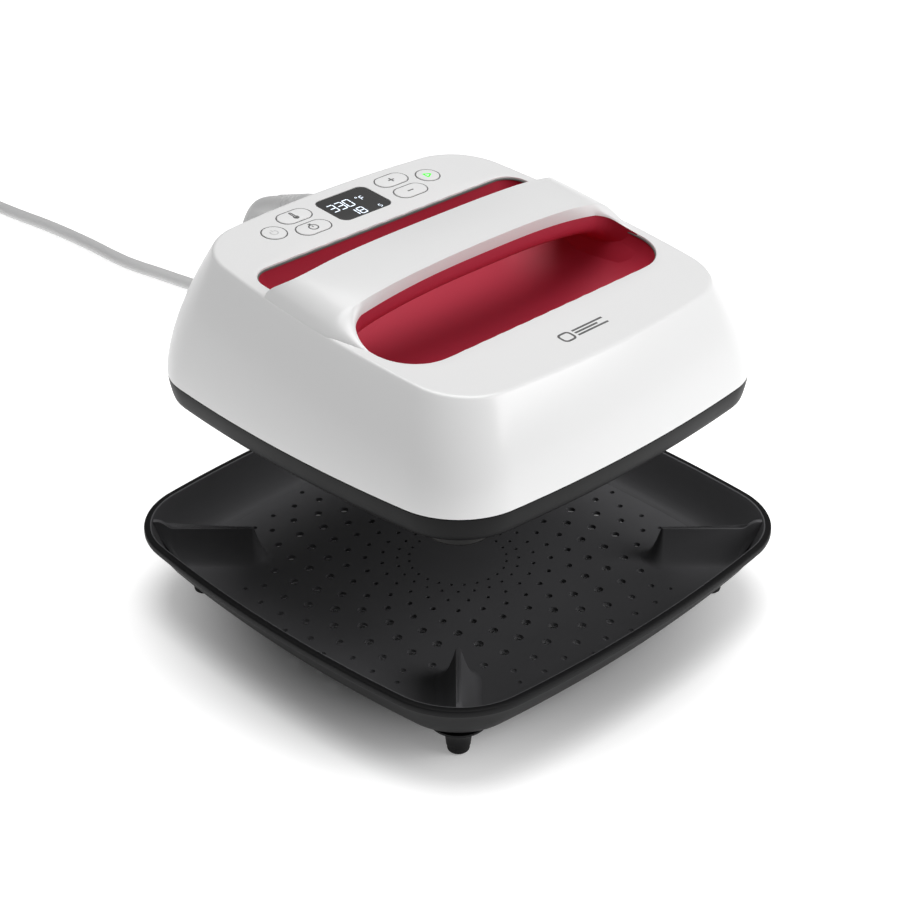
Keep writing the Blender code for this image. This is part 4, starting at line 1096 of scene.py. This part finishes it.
CAP_TOP = 0.0003
INK_SINK, INK_RISE = 0.00002, 0.00006  # how far a film of ink reaches into and above its surface
FIGURE_RISE = 0.00005
icon_strokes = {
    "power_button": (pale_ink, 0.0008, [arc(0.0022, 125, 415), bar(0, 0.0008, 0, 0.0030)]),
    "temperature_button": (grey_ink_and_gap_shade, 0.0008, [
        bar(-0.0006, -0.0006, -0.0006, 0.0036),
        bar(0.0006, -0.0006, 0.0006, 0.0036),
        arc(0.0006, 0, 180, 10, (0, 0.0036)),
        arc(0.0014, 120, 420, 24, (0, -0.0018)),
        arc(0.0005, 0, 350, 14, (0, -0.0018)),
    ]),
    "time_button": (grey_ink_and_gap_shade, 0.0008, [
        arc(0.0027, 0, 355),
        bar(0, 0, 0, 0.0016),
        bar(-0.0009, 0.0038, 0.0009, 0.0038),
        bar(0, 0.0027, 0, 0.0038),
    ]),
    "plus_button": (grey_ink_and_gap_shade, 0.0009, [bar(-0.0022, 0, 0.0022, 0), bar(0, -0.0022, 0, 0.0022)]),
    "minus_button": (grey_ink_and_gap_shade, 0.0009, [bar(-0.0022, 0, 0.0022, 0)]),
    "start_button": (lit_green, 0.0009, [
        bar(-0.0016, -0.0024, -0.0016, 0.0024),
        bar(-0.0016, 0.0024, 0.0025, 0.0),
        bar(0.0025, 0.0, -0.0016, -0.0024),
    ]),
}
cap_profile = [
    (0.0, -0.0060), (0.0, -0.0006), (0.0, 0.0), (0.00006, 0.00016), (0.0002, 0.00027),
    (0.0005, CAP_TOP),
]
for name, (x, y, radius, straight) in BUTTONS.items():
    place = on_panel(x, y)
    cap_rings = [lifted(pill(radius - inset, straight + SEAM), z) for inset, z in cap_profile]
    cap = lofted(name + "_cap", moved(cap_rings, place))
    dressed(cap, button_abs, name, name)
    ink, width, lines = icon_strokes[name]
    strokes = [moved(ribbon(line, width, CAP_TOP - INK_SINK, CAP_TOP + INK_RISE), place) for line in lines]
    icon = joined_lofts(name + "_icon", strokes)
    dressed(icon, ink, name)
    # A thin grey ring over the gap round each cap: painted shade for the dark, deep gap.
    painted_gap_shade_ring = ribbon(pill(radius + 0.0005, straight + SEAM, 30), 0.00045, -0.00004, 0.00005, closed=True)
    rim = lofted(name + "_painted_gap_shade_ring", moved(painted_gap_shade_ring, place), closed=True)
    dressed(rim, grey_ink_and_gap_shade, "press")
print(len(BUTTONS), "buttons with their icons")

# %% Display
window_place = on_panel(0, PANEL_MIDDLE_Y)
window_profile = [(0.0, -0.0021), (0.0, -0.0003), (0.0001, -0.0001), (0.0004, 0.0)]
window_rings = [
    lifted(rectangle(WINDOW[0] - 2 * inset, WINDOW[1] - 2 * inset, WINDOW[2] - inset), z)
    for inset, z in window_profile
]
window = lofted("display_window_pane", moved(window_rings, window_place))
dressed(window, smoked_acrylic, "press", "display_window")
SEGMENTS = {"0": "abcdef", "1": "bc", "3": "abcdg", "8": "abcdefg", "F": "aefg", "5": "afgcd"}


def seven_segments(character, left, bottom, width, height, stroke):
    """Bars of a seven segment figure, leaning like a display's, a to f clockwise from the top and
    g across the middle."""
    gap = stroke * 0.35
    rows = {"b": 0, "m": height / 2, "t": height}
    corner = {row + side: (x, y) for row, y in rows.items() for side, x in (("l", 0), ("r", width))}
    runs = {
        "a": ("tl", "tr"), "b": ("mr", "tr"), "c": ("br", "mr"), "d": ("bl", "br"),
        "e": ("bl", "ml"), "f": ("ml", "tl"), "g": ("ml", "mr"),
    }
    bars = []
    for segment in SEGMENTS[character]:
        start, end = (np.array(corner[key], float) for key in runs[segment])
        inward = (end - start) / np.linalg.norm(end - start) * gap
        line = np.array([start + inward, end - inward])
        line[:, 0] += line[:, 1] * 0.06
        bars.append(ribbon(line + [left, bottom], stroke, -INK_SINK, FIGURE_RISE))
    return bars


digits = []
for character, left in (("3", -0.0160), ("3", -0.0102), ("0", -0.0044)):
    digits += seven_segments(character, left, -0.0020, 0.0042, 0.0078, 0.00072)
for character, left in (("1", -0.0096), ("8", -0.0038)):
    digits += seven_segments(character, left, -0.0122, 0.0040, 0.0066, 0.00072)
digits.append(ribbon(arc(0.0006, 0, 350, 14, (0.0056, 0.0042)), 0.0003, -INK_SINK, FIGURE_RISE))
digits += seven_segments("F", 0.0074, 0.0002, 0.0022, 0.0040, 0.0005)
digits += seven_segments("5", 0.0098, -0.0124, 0.0016, 0.0028, 0.00045)
figures = joined_lofts("display_figures", [moved(stack, window_place) for stack in digits])
dressed(figures, lit_white, "press")
mark_place = on_panel(0, -0.0920)
MARK_STROKE = 0.0013
mark_bars = [
    bar(-0.0072, 0.0024 - 0.0024 * k, 0.0160 - 0.0060 * (k % 2), 0.0024 - 0.0024 * k) for k in range(3)
]
mark_films = [moved(ribbon(line, MARK_STROKE, -INK_SINK, INK_RISE), mark_place) for line in mark_bars]
mark = joined_lofts("front_mark_bars", mark_films)
dressed(mark, grey_ink_and_gap_shade, "press")
mark_square = rectangle(0.0078, 0.0070, 0.0022, 8) + [-0.0135, 0]
frame_film = ribbon(mark_square, MARK_STROKE, -INK_SINK, INK_RISE, closed=True)
frame_mark = lofted("front_mark_frame", moved(frame_film, mark_place), closed=True)
dressed(frame_mark, grey_ink_and_gap_shade, "press")
print("display shows generic figures")

# %% [markdown]
# ## Strain relief and plug
# A vinyl sleeve keeps the cord from bending sharply where it leaves the wall. Its rings
# follow a taper with shallow grooves cut in at equal steps. The plug at the other end is a loft of
# rounded rectangles with finger grooves.


# %% Strain relief
COLLAR_END = 0.0118
along = np.linspace(COLLAR_END, RELIEF_LENGTH, 120)
taper = 0.0076 + (0.00585 - 0.0076) * (along - COLLAR_END) / (RELIEF_LENGTH - COLLAR_END)
grooved = (along > 0.0150) * (along < RELIEF_LENGTH - 0.0040)
groove = 0.0003 * (np.cos(2 * np.pi * (along - 0.0150) / 0.0044) > 0.6) * grooved
relief_profile = [(0.0064, -0.0030), (0.0066, 0.0040), (0.0074, 0.0050), (0.0077, 0.0060), (0.0077, 0.0116)]
relief_profile += list(zip(taper - groove, along)) + [(0.0050, RELIEF_LENGTH + 0.0004)]
relief_turn = Vector(RELIEF_DIRECTION).to_track_quat("Z", "Y").to_matrix().to_4x4()
relief_place = Matrix.Translation(Vector(RELIEF_START)) @ relief_turn
relief = lofted("cord_relief_sleeve", moved(turned(relief_profile, 40), relief_place), sharp=45)
dressed(relief, cord_vinyl, "press", "strain_relief")

# %% Plug
plug_stations = [  # distance from the cord's end, and share of the full section
    (0, 0.37), (0.010, 0.40), (0.016, 0.48), (0.026, 0.97), (0.034, 1.0), (0.0445, 0.97), (0.046, 0.90),
]
plug_along = np.linspace(0, 0.046, 60)
plug_size = np.interp(plug_along, *zip(*plug_stations))
ribs = 0.035 * (np.cos(2 * np.pi * plug_along / 0.0035) > 0.3) * (plug_along > 0.001) * (plug_along < 0.011)
plug_sections = zip(plug_size - ribs, plug_along)
plug_rings = np.stack([lifted(rectangle(0.026 * s, 0.022 * s, 0.0065 * s), z) for s, z in plug_sections])
plug_place = Matrix.Translation(Vector(PLUG_REAR)) @ Matrix.Rotation(np.pi / 2, 4, "X")
plug = lofted("plug_body", moved(plug_rings, plug_place), sharp=40)
dressed(plug, plug_vinyl, "base", "mains_plug")
print("relief and plug are on the cord")

# %% [markdown]
# ## Stage and light
# A white floor that runs out of sight and glows, with a painted shadow round the object, one soft light high
# in front at the right, a larger one overhead, and a pale sky all round. The left wall of the press stays in
# a soft shade.


# %% Stage
def soft_light(name, place, aim, size, power):
    """A square area light that looks at a point."""
    lamp = bpy.data.lights.new(name, "AREA")
    lamp.size = size
    lamp.energy = power
    light = bpy.data.objects.new(name, lamp)
    bpy.context.collection.objects.link(light)
    light.location = place
    light.rotation_euler = (Vector(aim) - Vector(place)).to_track_quat("-Z", "Y").to_euler()
    return light


span = 60.0
floor_corners = [(-span, -span, 0), (span, -span, 0), (span, span, 0), (-span, span, 0)]
stage_floor = mesh_piece("studio_floor", floor_corners, [[0, 1, 2, 3]])
stage_floor.location.z = -0.0002
sheet_paper = bpy.data.materials.new("white studio paper")
sheet_paper.use_nodes = True
paper_shader = sheet_paper.node_tree.nodes["Principled BSDF"]
paper_shader.inputs["Base Color"].default_value = (0.86, 0.86, 0.86, 1)
paper_shader.inputs["Roughness"].default_value = 0.9
paper_shader.inputs["Specular IOR Level"].default_value = 0.0
paper_shader.inputs["Emission Color"].default_value = (1, 1, 1, 1)
# The paper glows, except near the middle. Its glow fades out towards the object, which is a painted shadow
# round it, and it rises again far away to keep the distant floor white.
paper_tree = sheet_paper.node_tree
spot = add_node(paper_tree, "ShaderNodeTexCoord").outputs["Object"]
away = add_node(paper_tree, "ShaderNodeVectorMath", {"operation": "LENGTH"}, {0: spot}).outputs["Value"]
# Near the object the glow fades to nothing: a painted shadow round the base.
painted_shadow_fade = {"interpolation_type": "SMOOTHSTEP", "From Min": 0.10, "From Max": 0.215, "To Max": 0.60}
far_rise = {"interpolation_type": "SMOOTHSTEP", "From Min": 1.0, "From Max": 3.5, "To Max": 0.38}
lit = add_node(paper_tree, "ShaderNodeMapRange", painted_shadow_fade, {"Value": away})
far = add_node(paper_tree, "ShaderNodeMapRange", far_rise, {"Value": away})
both = add_node(paper_tree, "ShaderNodeMath", {"operation": "ADD"}, {0: lit.outputs[0], 1: far.outputs[0]})
paper_tree.links.new(both.outputs[0], paper_shader.inputs["Emission Strength"])
stage_floor.data.materials.append(sheet_paper)
soft_light("key", (0.9, -1.7, 1.3), (0, 0, 0.12), 1.3, 22)
soft_light("overhead", (0.2, 0.2, 2.2), (0, 0, 0.1), 1.6, 35)
world = bpy.data.worlds.new("pale studio")
bpy.context.scene.world = world
world.use_nodes = True
world.node_tree.nodes["Background"].inputs["Color"].default_value = (1, 1, 1, 1)
world.node_tree.nodes["Background"].inputs["Strength"].default_value = 0.08
bpy.context.scene.view_settings.view_transform = "Standard"
print("stage and two soft lights")
